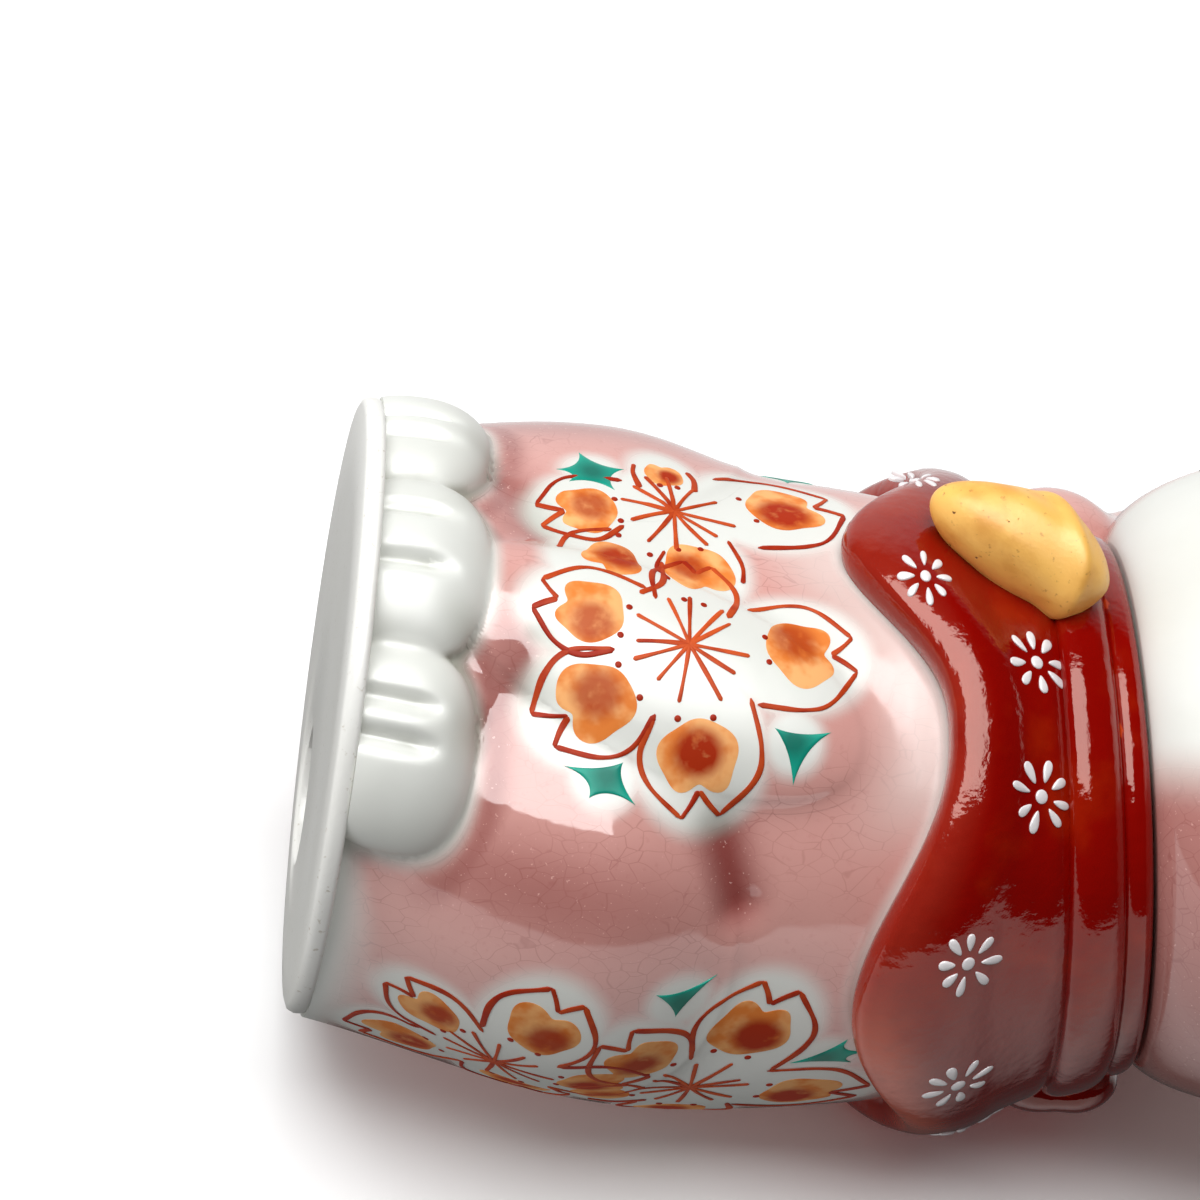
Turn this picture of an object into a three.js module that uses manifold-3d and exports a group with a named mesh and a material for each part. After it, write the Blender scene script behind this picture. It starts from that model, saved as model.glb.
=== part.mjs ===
// Beckoning lucky cat: a hollow slip-cast porcelain figurine, put together from castings and sprigs luted with
// slip. The cat stands with +Z up and faces -Y, with its left side toward +X and the origin in the middle of its
// underside. Sizes are millimetres. Angles are degrees about the spine, from the cat's front toward its left.

import * as THREE from "three";
import { mergeVertices } from "three/addons/utils/BufferGeometryUtils.js";
import Module from "manifold-3d";

// Slip joint between luted pieces, the cast wall, and the edge thickness of a luted sprig
const SLIP_JOINT = 0.3;
const WALL = 4;
const SPRIG_EDGE = 0.8;

// Floor slab with its drain hole, and the ledge that it keeps under the paws
const FLOOR_RADIUS = 37.2;
const FLOOR_THICKNESS = 2.4;
const FLOOR_EDGE_ROUND = 1;
const TOE_LEDGE = 5;
const DRAIN_RADIUS = 8.8;
const DRAIN_BEHIND = 20;

// Torso: radius and backward lean of the spine at its foot, belly, shoulders and neck, and how far the neck's
// tilted rim dips at the front. The foot lies inside the floor slab's edge.
const FOOT_INSIDE_FLOOR = 0.8;
const FOOT_LEAN = 2.4;
const BELLY_HEIGHT = 45;
const BELLY_RADIUS = 40.4;
const BELLY_LEAN = 8.4;
const SHOULDER_BELOW_NECK = 28;
const SHOULDER_RADIUS = 37.7;
const SHOULDER_LEAN = 5;
const NECK_HEIGHT = 102;
const NECK_RADIUS = 31;
const NECK_LEAN = 0;
const NECK_DIP = 6.7;

// Head: an oval ball, turned to the cat's right and set a little forward and to the right
const HEAD_TURN = -16;
const HEAD_ABOVE_NECK = 28;
const HEAD_CROWN_HEIGHT = 37;
const HEAD_HALF_WIDTH = 46;
const HEAD_HALF_DEPTH = 37.5;
const HEAD_FORWARD = 6.5;
const HEAD_ASIDE = 3.5;
const HEAD_FULLNESS = 2.3;
const MUZZLE_SWELL = 3;
const MUZZLE_HALF_WIDTH = 19;
const MUZZLE_HALF_HEIGHT = 13;
const MUZZLE_BELOW_CENTRE = 11;

// Ears
const EAR_HALF_WIDTH = 16;
const EAR_HALF_THICKNESS = 9.5;
const EAR_HALF_HEIGHT = 25;
const EAR_ABOVE_CENTRE = 27;
const EAR_INSET = 23;
const EAR_SPLAY = 17;
const EAR_NARROWING = 0.5;

// Haunches, lifted off the floor slab
const HAUNCH_ANGLE = 62;
const HAUNCH_LIFT = 10.6;
const HAUNCH_HALF_LENGTH = 25.5;
const HAUNCH_HALF_HEIGHT = 18;
const HAUNCH_SWELL = 3.6;

// Lowered left foreleg in relief, slanting up and outward from its paw
const FORELEG_ANGLE = 11;
const FORELEG_LIFT = 8;
const FORELEG_HALF_WIDTH = 11;
const FORELEG_HALF_HEIGHT = 26;
const FORELEG_SWELL = 3.4;
const FORELEG_SLANT = 10;

// Paws: three toes each
const FOREPAW_ANGLE = 2;
const HIND_PAW_ANGLE = 35;
const PAW_HALF_WIDTH = 11.2;
const PAW_HALF_HEIGHT = 6.6;
const PAW_SWELL = 5.6;
const PAW_SQUARENESS = 2.8;
const PAW_FULLNESS = 0.8;
const TOE_GROOVE_DEPTH = 1.5;
const TOE_GROOVE_HALF_WIDTH = 1.5;
const TOE_GROOVE_OFFSET = 4;

// Tail in relief at the back right, lifted off the floor slab
const TAIL_ANGLE = -140;
const TAIL_LIFT = 1.5;
const TAIL_HALF_LENGTH = 15;
const TAIL_HALF_HEIGHT = 8;
const TAIL_SWELL = 4.5;

// Raised right arm: a bent tube whose axis passes these stops above the neck and beyond the figure's surface
const ARM_RADIUS = 10.5;
const ARM_SHOULDER = { angle: -74, aboveNeck: -11, beyond: 0.8 };
const ARM_ELBOW = { angle: -106, aboveNeck: 4, beyond: 1 };
const ARM_FOREARM = { angle: -108, aboveNeck: 24, beyond: 4.5 };
const ARM_WRIST = { angle: -88, aboveNeck: 43, beyond: 12 };

// Raised paw: how far it stands out past the arm on each axis, and how it is bent forward at the wrist
const RAISED_PAW_WIDENING = 0.9;
const RAISED_PAW_DEEPENING = 2.5;
const RAISED_PAW_HEIGHTENING = 1;
const RAISED_PAW_FORWARD = 4;
const RAISED_PAW_ABOVE = 4;

// Collar: a broad roll and a thin roll above it
const COLLAR_BELOW_NECK = 10.4;
const BAND_HEIGHT = 6.6;
const BAND_THICKNESS = 3.4;
const PIPING_HEIGHT = 3;
const PIPING_THICKNESS = 2.2;

// Bib: hangs from the collar in four lobes, with notches between them
const BIB_NOTCH_FALL = 16.6;
const BIB_FRONT_DROP = 15;
const BIB_SIDE_DROP = 9.8;
const BIB_BACK_DROP = 7.2;
const BIB_FRONT_NOTCH = 36.5;
const BIB_BACK_NOTCH = 128;
const BIB_THICKNESS = 5;

// Bell sprig, lying on the bib under the chin: a round bowl below its ridge and a cone above it
const BELL_BOWL_LENGTH = 15.5;
const BELL_CONE_LENGTH = 8;
const BELL_RADIUS = 6.3;
const BELL_RIDGE = 0.7;
const BELL_RIDGE_HALF_WIDTH = 1.6;
const BELL_POINTEDNESS = 1.66;
const BELL_BELOW_COLLAR = 0.8;
const BELL_BEYOND_BIB = 1.2;
const BELL_TILT = -15;
const BELL_TURN = -8;
const BELL_SKEW = 0.48;

// Bow behind the neck
const BOW_ABOVE_COLLAR = 2.4;
const KNOT_HALF_WIDTH = 6;
const KNOT_HALF_HEIGHT = 6.6;
const KNOT_HALF_DEPTH = 5.4;
const LOOP_HALF_WIDTH = 11;
const LOOP_HALF_HEIGHT = 8.4;
const LOOP_HALF_DEPTH = 4.6;
const LOOP_OUTWARD = 14;

// How finely round forms are divided, and how far a cutting form overruns the face that it opens
const ROUND_STEPS = 42;
const BIB_STEPS = 60;
const SPRIG_STEPS = 22;
const SPRIG_RINGS = 10;
const TORSO_RINGS = 12;
const HEAD_RINGS = 7;
const HOLLOW_RINGS = 6;
const BELL_RINGS = 14;
const ARM_STEPS = 16;
const ARM_RINGS = 8;
const ARM_CAP_RINGS = 4;
const OVERRUN = 1;

// Heights that several pieces share
const torsoFoot = FLOOR_THICKNESS + SLIP_JOINT;
const shoulderHeight = NECK_HEIGHT - SHOULDER_BELOW_NECK;
const headFoot = NECK_HEIGHT + SLIP_JOINT;
const headCentre = NECK_HEIGHT + HEAD_ABOVE_NECK;
const headTop = headCentre + HEAD_CROWN_HEIGHT;
const collarFoot = NECK_HEIGHT - COLLAR_BELOW_NECK;
const bandTop = collarFoot + BAND_HEIGHT;
const pipingFoot = bandTop + SLIP_JOINT;

const wasm = await Module();
wasm.setup();

const radians = THREE.MathUtils.degToRad;
const degrees = THREE.MathUtils.radToDeg;

// Smooth function of height through [height, value] pairs, level beyond its ends.
function curveThrough(pairs) {
  const heights = pairs.map((pair) => pair[0]);
  const values = pairs.map((pair) => pair[1]);
  const interpolant = new THREE.CubicInterpolant(heights, values, 1);
  return (height) => interpolant.evaluate(height)[0];
}

const torsoRadius = curveThrough([
  [FLOOR_THICKNESS, FLOOR_RADIUS - FOOT_INSIDE_FLOOR],
  [BELLY_HEIGHT, BELLY_RADIUS],
  [shoulderHeight, SHOULDER_RADIUS],
  [NECK_HEIGHT, NECK_RADIUS],
]);

const spineLean = curveThrough([
  [FLOOR_THICKNESS, FOOT_LEAN],
  [BELLY_HEIGHT, BELLY_LEAN],
  [shoulderHeight, SHOULDER_LEAN],
  [NECK_HEIGHT, NECK_LEAN],
  [headCentre, -HEAD_FORWARD],
]);

// Share of the way from the neck's girth to the head's full girth, along a quarter circle.
function headRise(height) {
  const left = 1 - THREE.MathUtils.clamp((height - NECK_HEIGHT) / HEAD_ABOVE_NECK, 0, 1);
  return Math.sqrt(1 - left * left);
}

// Share of the head's full girth left at a height above its centre.
function crownShare(height) {
  const rise = (height - headCentre) / HEAD_CROWN_HEIGHT;
  return Math.pow(1 - Math.pow(THREE.MathUtils.clamp(rise, 0, 1), HEAD_FULLNESS), 1 / HEAD_FULLNESS);
}

// Radius of the head about the spine, with its muzzle.
function headRadius(angle, height) {
  const turned = radians(angle - HEAD_TURN);
  const rise = headRise(height);
  const width = NECK_RADIUS + (HEAD_HALF_WIDTH - NECK_RADIUS) * rise;
  const depth = NECK_RADIUS + (HEAD_HALF_DEPTH - NECK_RADIUS) * rise;
  const oval = 1 / Math.hypot(Math.sin(turned) / width, Math.cos(turned) / depth);
  const across = (oval * Math.sin(turned)) / MUZZLE_HALF_WIDTH;
  const along = (height - headCentre + MUZZLE_BELOW_CENTRE) / MUZZLE_HALF_HEIGHT;
  const inFront = Math.cos(turned) > 0;
  const swell = inFront ? MUZZLE_SWELL * Math.exp(-across * across - along * along) : 0;
  return oval * crownShare(height) + swell;
}

function figureRadius(angle, height) {
  return height <= NECK_HEIGHT ? torsoRadius(height) : headRadius(angle, height);
}

// Point at an angle about the spine, a height along it and a distance from it. From the belly up to the neck the
// levels tilt more and more toward the face, and the head keeps the neck's tilt.
function aroundSpine(angle, height, distance) {
  const aside = -HEAD_ASIDE * headRise(height);
  const x = aside + distance * Math.sin(radians(angle));
  const y = spineLean(height) - distance * Math.cos(radians(angle));
  const tilt = (NECK_DIP / NECK_RADIUS) * THREE.MathUtils.smoothstep(height, BELLY_HEIGHT, NECK_HEIGHT);
  return new THREE.Vector3(x, y, height - tilt * distance * Math.cos(radians(angle - HEAD_TURN)));
}

// Direction away from the spine at an angle.
function outward(angle) {
  return new THREE.Vector3(Math.sin(radians(angle)), -Math.cos(radians(angle)), 0);
}

// Turns the faces outward where a mapping has left them inside out.
function facingOut(geometry) {
  const { index } = geometry;
  const { position } = geometry.attributes;
  const corners = [0, 1, 2].map(() => new THREE.Vector3());
  let volume = 0;
  for (let i = 0; i < index.count; i += 3) {
    corners.forEach((corner, k) => corner.fromBufferAttribute(position, index.getX(i + k)));
    volume += corners[0].dot(corners[1].clone().cross(corners[2]));
  }
  if (volume < 0) {
    for (let i = 0; i < index.count; i += 3) {
      const swapped = index.getX(i);
      index.setX(i, index.getX(i + 1));
      index.setX(i + 1, swapped);
    }
  }
  return geometry;
}

// Closed solid from a geometry whose every corner is moved by a function of its place.
function moulded(geometry, move) {
  geometry.deleteAttribute("normal");
  geometry.deleteAttribute("uv");
  const merged = mergeVertices(geometry);
  const { position } = merged.attributes;
  const corner = new THREE.Vector3();
  for (let i = 0; i < position.count; i++) {
    const moved = move(corner.fromBufferAttribute(position, i));
    position.setXYZ(i, moved.x, moved.y, moved.z);
  }
  facingOut(merged);
  const mesh = new wasm.Mesh({
    numProp: 3,
    vertProperties: merged.attributes.position.array,
    triVerts: new Uint32Array(merged.index.array),
  });
  return new wasm.Manifold(mesh);
}

function cut(solid, ...tools) {
  return tools.reduce((left, tool) => left.subtract(tool), solid);
}

// Corners of a section with no thickness lie on its back, against the figure. A grown copy, which only cuts
// others, reaches into the figure's wall instead.
const isBack = (out) => out < 0.01;
const backDepth = (grow) => (grow ? -WALL : 0);

// Ring wound round the spine. The section's corners are [share of height, share of thickness], and place turns
// an angle with those two shares into a point.
function woundRing(section, steps, place) {
  const axle = 10;
  const corners = section.map(([rise, out]) => new THREE.Vector2(axle + out, rise));
  const lathe = new THREE.LatheGeometry([...corners, corners[0]], steps);
  return moulded(lathe, (point) => {
    const angle = degrees(Math.atan2(point.x, -point.z));
    return place(angle, point.y, Math.hypot(point.x, point.z) - axle);
  });
}

// Solid wound round the spine through the given heights and closed at both ends.
function spineSolid(heights, radius) {
  const walls = heights.map((height) => new THREE.Vector2(1, height));
  const foot = new THREE.Vector2(0, heights[0]);
  const crown = new THREE.Vector2(0, heights[heights.length - 1]);
  return moulded(new THREE.LatheGeometry([foot, ...walls, crown], ROUND_STEPS), (point) => {
    const angle = degrees(Math.atan2(point.x, -point.z));
    return aroundSpine(angle, point.y, Math.hypot(point.x, point.z) * radius(angle, point.y));
  });
}

function evenly(from, to, count) {
  return Array.from({ length: count + 1 }, (_, i) => from + ((to - from) * i) / count);
}

// Heights crowded toward the end of a round form, where it closes.
function crowned(from, to, count) {
  return evenly(0, 90, count).map((turn) => from + (to - from) * Math.sin(radians(turn)));
}

// Sprig luted on the figure: an oval pad whose face swells outward, seated one slip joint off the surface.
function sprig(spot, grow = 0) {
  const sphere = new THREE.SphereGeometry(1, SPRIG_STEPS, SPRIG_RINGS);
  return moulded(sphere, (point) => {
    const reach = Math.hypot(point.x, point.z);
    const power = spot.squareness ?? 2;
    const bearing = Math.atan2(point.z, point.x);
    const round = Math.abs(Math.cos(bearing)) ** power + Math.abs(Math.sin(bearing)) ** power;
    const spread = reach * round ** (-1 / power);
    const side = Math.cos(bearing) * spread * (spot.halfLength + grow);
    const up = Math.sin(bearing) * spread * (spot.halfHeight + grow);
    const height = spot.height + up;
    const slant = ((spot.slant ?? 0) * up) / spot.halfHeight;
    const girth = figureRadius(spot.angle, spot.height);
    const angle = spot.angle + slant + degrees(side / girth);
    const facing = Math.max(0, point.y);
    const groove = spot.groove ? spot.groove(side, facing) : 0;
    const face = SPRIG_EDGE + spot.swell * Math.pow(facing, spot.fullness ?? 1) - groove + grow;
    const proud = point.y > -0.01 ? face : backDepth(grow);
    return aroundSpine(angle, height, figureRadius(angle, height) + SLIP_JOINT + proud);
  });
}

// Toe grooves run down the face of a paw and fade toward its edge.
function toeGroove(side, facing) {
  const left = (side - TOE_GROOVE_OFFSET) / TOE_GROOVE_HALF_WIDTH;
  const right = (side + TOE_GROOVE_OFFSET) / TOE_GROOVE_HALF_WIDTH;
  return TOE_GROOVE_DEPTH * facing * (Math.exp(-left * left) + Math.exp(-right * right));
}

const pawAt = (angle) => ({
  angle,
  height: torsoFoot + PAW_HALF_HEIGHT,
  halfLength: PAW_HALF_WIDTH,
  halfHeight: PAW_HALF_HEIGHT,
  swell: PAW_SWELL,
  fullness: PAW_FULLNESS,
  squareness: PAW_SQUARENESS,
  groove: toeGroove,
});

const haunchAt = (angle) => ({
  angle,
  height: torsoFoot + HAUNCH_LIFT + HAUNCH_HALF_HEIGHT,
  halfLength: HAUNCH_HALF_LENGTH,
  halfHeight: HAUNCH_HALF_HEIGHT,
  swell: HAUNCH_SWELL,
});

const forelegSpot = {
  angle: FORELEG_ANGLE,
  height: torsoFoot + FORELEG_LIFT + FORELEG_HALF_HEIGHT,
  halfLength: FORELEG_HALF_WIDTH,
  halfHeight: FORELEG_HALF_HEIGHT,
  swell: FORELEG_SWELL,
  slant: FORELEG_SLANT,
};

const tailSpot = {
  angle: TAIL_ANGLE,
  height: torsoFoot + TAIL_LIFT + TAIL_HALF_HEIGHT,
  halfLength: TAIL_HALF_LENGTH,
  halfHeight: TAIL_HALF_HEIGHT,
  swell: TAIL_SWELL,
};

// Floor slab: a turned disc drawn forward under the paws, with its drain hole cut through.
function floorSlab() {
  const profile = [
    new THREE.Vector2(0, 0),
    new THREE.Vector2(FLOOR_RADIUS - FLOOR_EDGE_ROUND, 0),
    new THREE.Vector2(FLOOR_RADIUS, FLOOR_EDGE_ROUND),
    new THREE.Vector2(FLOOR_RADIUS, FLOOR_THICKNESS),
    new THREE.Vector2(0, FLOOR_THICKNESS),
  ];
  const slab = moulded(new THREE.LatheGeometry(profile, ROUND_STEPS), (point) => {
    const reach = Math.hypot(point.x, point.z);
    const facing = reach ? Math.max(0, -point.z / reach) : 0;
    const ledge = (TOE_LEDGE * facing * facing * reach) / FLOOR_RADIUS;
    const stretch = reach ? (reach + ledge) / reach : 1;
    return new THREE.Vector3(point.x * stretch, point.z * stretch, point.y);
  });
  const drillLength = 2 * (FLOOR_THICKNESS + OVERRUN);
  const drill = new THREE.CylinderGeometry(DRAIN_RADIUS, DRAIN_RADIUS, drillLength, SPRIG_STEPS);
  return cut(slab, moulded(drill, (point) => new THREE.Vector3(point.x, DRAIN_BEHIND + point.z, point.y)));
}

// Filled figure below and above the neck, grown by a clearance. The shells are these less their hollows.
function torsoCore(grow) {
  const heights = evenly(torsoFoot, NECK_HEIGHT + grow, TORSO_RINGS);
  return spineSolid(heights, (angle, height) => torsoRadius(height) + grow);
}

function headCore(grow) {
  const neck = crowned(headCentre, headFoot - grow, HEAD_RINGS).reverse();
  const crown = crowned(headCentre, headTop, HEAD_RINGS).slice(1);
  const outside = (angle, height) => headRadius(angle, Math.max(height, headFoot)) + grow;
  return spineSolid([...neck, ...crown], outside);
}

function torsoShell() {
  const heights = evenly(torsoFoot - OVERRUN, NECK_HEIGHT + OVERRUN, HOLLOW_RINGS);
  return cut(torsoCore(0), spineSolid(heights, (angle, height) => torsoRadius(height) - WALL));
}

// The head's hollow follows its outside one wall in, with its crown lowered by the wall.
function headShell() {
  const hollowTop = headTop - WALL;
  const neck = crowned(headCentre, headFoot - OVERRUN, HOLLOW_RINGS).reverse();
  const crown = crowned(headCentre, hollowTop, HOLLOW_RINGS).slice(1);
  const hollow = spineSolid([...neck, ...crown], (angle, height) => {
    const share = Math.max(0, height - headCentre) / (hollowTop - headCentre);
    const outside = height + WALL * share;
    return headRadius(angle, outside) - WALL * crownShare(outside);
  });
  return cut(headCore(0), hollow);
}

// Drop of the bib's lobes below the notches between them.
function lobeDrop(angle) {
  const turned = Math.abs(THREE.MathUtils.euclideanModulo(angle - HEAD_TURN + 180, 360) - 180);
  if (turned < BIB_FRONT_NOTCH) {
    return BIB_FRONT_DROP * Math.cos(radians(90) * (turned / BIB_FRONT_NOTCH)) ** 3;
  }
  if (turned < BIB_BACK_NOTCH) {
    const share = (turned - BIB_FRONT_NOTCH) / (BIB_BACK_NOTCH - BIB_FRONT_NOTCH);
    return BIB_SIDE_DROP * Math.sin(radians(180) * share) ** 2;
  }
  const share = (turned - BIB_BACK_NOTCH) / (180 - BIB_BACK_NOTCH);
  return BIB_BACK_DROP * Math.sin(radians(90) * share) ** 2;
}

// Bib section: a broad rolled hem along the foot, from which the face falls toward the collar.
const BIB_SECTION = [
  [0, 0], [0, 0.3], [0.04, 0.58], [0.14, 0.86], [0.28, 1], [0.42, 0.93], [0.6, 0.72],
  [0.8, 0.6], [0.94, 0.5], [1, 0.3], [1, 0], [0.75, 0], [0.5, 0], [0.25, 0],
];

function bibSolid(grow) {
  return woundRing(BIB_SECTION, BIB_STEPS, (angle, rise, out) => {
    const low = collarFoot - BIB_NOTCH_FALL - lobeDrop(angle) - grow;
    const high = collarFoot - SLIP_JOINT + grow;
    const height = low + (high - low) * rise;
    const proud = isBack(out) ? backDepth(grow) : out * BIB_THICKNESS + grow;
    return aroundSpine(angle, height, figureRadius(angle, height) + SLIP_JOINT + proud);
  });
}

// A roll of the collar, from its foot to its top.
const ROLL_SECTION = [
  [0, 0], [0, 0.55], [0.14, 0.88], [0.5, 1], [0.86, 0.88], [1, 0.55], [1, 0], [0.5, 0],
];

function collarRoll(foot, top, thickness, grow) {
  return woundRing(ROLL_SECTION, ROUND_STEPS, (angle, rise, out) => {
    const height = foot - grow + (top - foot + 2 * grow) * rise;
    const proud = isBack(out) ? backDepth(grow) : out * thickness + grow;
    return aroundSpine(angle, height, figureRadius(angle, height) + SLIP_JOINT + proud);
  });
}

const bandSolid = (grow) => collarRoll(collarFoot, bandTop, BAND_THICKNESS, grow);
const pipingSolid = (grow) => collarRoll(pipingFoot, pipingFoot + PIPING_HEIGHT, PIPING_THICKNESS, grow);

// Everything that a piece laid on the collar must stay clear of.
const neckwear = [
  torsoCore(SLIP_JOINT),
  headCore(SLIP_JOINT),
  bibSolid(SLIP_JOINT),
  bandSolid(SLIP_JOINT),
  pipingSolid(SLIP_JOINT),
];

// Ball stretched to half sizes, turned and set at a place, with an optional change of its round form first.
function ball(halfSizes, place, turn, reshape = (point) => point) {
  const seat = new THREE.Matrix4().makeRotationFromEuler(turn).setPosition(place);
  const sphere = new THREE.SphereGeometry(1, SPRIG_STEPS, SPRIG_RINGS).rotateX(radians(90));
  return moulded(sphere, (point) => reshape(point).multiply(halfSizes).applyMatrix4(seat));
}

// Ear: narrows from a round root inside the head to its tip.
function ear(side) {
  const root = aroundSpine(HEAD_TURN + 90 * side, headCentre + EAR_ABOVE_CENTRE, HEAD_HALF_WIDTH - EAR_INSET);
  const turn = new THREE.Euler(0, radians(EAR_SPLAY * side), radians(HEAD_TURN), "ZYX");
  const halfSizes = new THREE.Vector3(EAR_HALF_WIDTH, EAR_HALF_THICKNESS, EAR_HALF_HEIGHT);
  const whole = ball(halfSizes, root, turn, (point) => {
    const taper = 1 - EAR_NARROWING * Math.max(0, point.z);
    return point.set(point.x * taper, point.y * taper, point.z);
  });
  return cut(whole, headCore(SLIP_JOINT));
}

function armStop({ angle, aboveNeck, beyond }) {
  const height = NECK_HEIGHT + aboveNeck;
  return aroundSpine(angle, height, figureRadius(angle, height) + beyond);
}

const armPath = new THREE.CatmullRomCurve3([ARM_SHOULDER, ARM_ELBOW, ARM_FOREARM, ARM_WRIST].map(armStop));

// Raised arm: a capsule bent along its path.
function armSolid(grow) {
  const radius = ARM_RADIUS + grow;
  const straight = armPath.getLength() / ARM_RADIUS;
  const capsule = new THREE.CapsuleGeometry(1, straight - 2, ARM_CAP_RINGS, ARM_STEPS, ARM_RINGS);
  return moulded(capsule, (point) => {
    const share = THREE.MathUtils.clamp(point.y / straight + 0.5, 0, 1);
    const along = armPath.getTangentAt(share);
    const side = along.clone().cross(outward(0)).normalize();
    const front = side.clone().cross(along);
    const centre = armPath.getPointAt(share).addScaledVector(along, grow * Math.sign(share - 0.5));
    return centre.addScaledVector(side, point.x * radius).addScaledVector(front, point.z * radius);
  });
}

// Raised paw: bent forward at the wrist, with toe grooves down its front.
function raisedPaw() {
  const halfWidth = ARM_RADIUS + RAISED_PAW_WIDENING;
  const halfDepth = ARM_RADIUS + RAISED_PAW_DEEPENING;
  const halfHeight = ARM_RADIUS + RAISED_PAW_HEIGHTENING;
  const bend = new THREE.Vector3(0, -RAISED_PAW_FORWARD, RAISED_PAW_ABOVE);
  const halfSizes = new THREE.Vector3(halfWidth, halfDepth, halfHeight);
  const paw = ball(halfSizes, armStop(ARM_WRIST).add(bend), new THREE.Euler(), (point) => {
    const groove = toeGroove(point.x * halfWidth, Math.max(0, -point.y)) / halfDepth;
    return point.set(point.x, point.y + groove, point.z);
  });
  return cut(paw, armSolid(SLIP_JOINT), headCore(SLIP_JOINT));
}

// Bell: a jingle bell with a ridge between its bowl and its cone, pressed askew against the bib.
function bell() {
  const profile = evenly(-90, 90, BELL_RINGS).map((rise) => {
    const length = rise < 0 ? BELL_BOWL_LENGTH : BELL_CONE_LENGTH;
    const height = length * Math.sin(radians(rise));
    const ridge = BELL_RIDGE * Math.exp(-((height / BELL_RIDGE_HALF_WIDTH) ** 2));
    const round = Math.cos(radians(rise)) ** (rise < 0 ? 1 : BELL_POINTEDNESS);
    return new THREE.Vector2(Math.abs(rise) < 90 ? BELL_RADIUS * round + ridge : 0, height);
  });
  const ridgeHeight = collarFoot - BELL_BELOW_COLLAR;
  const girth = figureRadius(HEAD_TURN, ridgeHeight) + SLIP_JOINT + BIB_THICKNESS + BELL_BEYOND_BIB;
  const centre = aroundSpine(HEAD_TURN, ridgeHeight, girth);
  const lean = new THREE.Quaternion().setFromAxisAngle(outward(HEAD_TURN + 90), radians(BELL_TILT));
  const turn = new THREE.Quaternion().setFromAxisAngle(outward(HEAD_TURN), radians(BELL_TURN));
  const whole = moulded(new THREE.LatheGeometry(profile, SPRIG_STEPS), (point) => {
    const upright = new THREE.Vector3(point.x, -point.z, point.y);
    upright.z += BELL_SKEW * upright.dot(outward(HEAD_TURN + 90));
    return upright.applyQuaternion(lean).applyQuaternion(turn).add(centre);
  });
  return cut(whole, ...neckwear);
}

// Bow behind the neck: a knot between two loops.
const bowAngle = HEAD_TURN + 180;
const bowHeight = collarFoot + BOW_ABOVE_COLLAR;
const bowReach = figureRadius(bowAngle, bowHeight) + SLIP_JOINT + BAND_THICKNESS;
const bowTurn = new THREE.Euler(0, 0, radians(HEAD_TURN));

function bowKnot(grow) {
  const halfSizes = new THREE.Vector3(KNOT_HALF_WIDTH, KNOT_HALF_DEPTH, KNOT_HALF_HEIGHT).addScalar(grow);
  return ball(halfSizes, aroundSpine(bowAngle, bowHeight, bowReach), bowTurn);
}

function bowLoop(side) {
  const angle = bowAngle + degrees((LOOP_OUTWARD * side) / bowReach);
  const turn = new THREE.Euler(0, 0, radians(angle + 180));
  const halfSizes = new THREE.Vector3(LOOP_HALF_WIDTH, LOOP_HALF_DEPTH, LOOP_HALF_HEIGHT);
  const loop = ball(halfSizes, aroundSpine(angle, bowHeight, bowReach), turn);
  return cut(loop, ...neckwear, bowKnot(SLIP_JOINT));
}

// Glazes and overglaze enamels
const glaze = (color, roughness) => new THREE.MeshStandardMaterial({ color, roughness, metalness: 0 });
const bareClay = () => glaze(0xe4e0d6, 0.6);
const whiteGlaze = () => glaze(0xecebe4, 0.18);
const pinkGlaze = () => glaze(0xcf9a95, 0.15);
const redEnamel = () => glaze(0x8f1a0c, 0.16);
const goldEnamel = () => new THREE.MeshStandardMaterial({ color: 0xd2a04a, roughness: 0.5, metalness: 0.6 });

function part(name, solid, material) {
  const { vertProperties, triVerts } = solid.getMesh();
  const geometry = new THREE.BufferGeometry();
  geometry.setAttribute("position", new THREE.BufferAttribute(new Float32Array(vertProperties), 3));
  geometry.setIndex(new THREE.BufferAttribute(new Uint32Array(triVerts), 1));
  geometry.computeVertexNormals();
  const mesh = new THREE.Mesh(geometry, material);
  mesh.name = name;
  return mesh;
}

const leftHindPaw = pawAt(HIND_PAW_ANGLE);
const rightHindPaw = pawAt(-HIND_PAW_ANGLE);
const forepaw = pawAt(FOREPAW_ANGLE);
const leftHaunch = haunchAt(HAUNCH_ANGLE);
const rightHaunch = haunchAt(-HAUNCH_ANGLE);
const grown = (spot) => sprig(spot, SLIP_JOINT);
const aroundLegs = [leftHindPaw, rightHindPaw, forepaw].map(grown).concat(bibSolid(SLIP_JOINT));
const aroundHaunches = [...aroundLegs, grown(forelegSpot)];
const aroundTail = [leftHaunch, rightHaunch].map(grown);

const body = new THREE.Group();
body.add(
  part("base_floor", floorSlab(), bareClay()),
  part("body_shell", torsoShell(), pinkGlaze()),
  part("left_haunch", cut(sprig(leftHaunch), ...aroundHaunches), pinkGlaze()),
  part("right_haunch", cut(sprig(rightHaunch), ...aroundHaunches), pinkGlaze()),
  part("left_foreleg", cut(sprig(forelegSpot), ...aroundLegs), pinkGlaze()),
  part("left_forepaw", sprig(forepaw), whiteGlaze()),
  part("left_hind_paw", cut(sprig(leftHindPaw), grown(forepaw)), whiteGlaze()),
  part("right_hind_paw", cut(sprig(rightHindPaw), grown(forepaw)), whiteGlaze()),
  part("tail", cut(sprig(tailSpot), ...aroundTail), pinkGlaze()),
);

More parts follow.
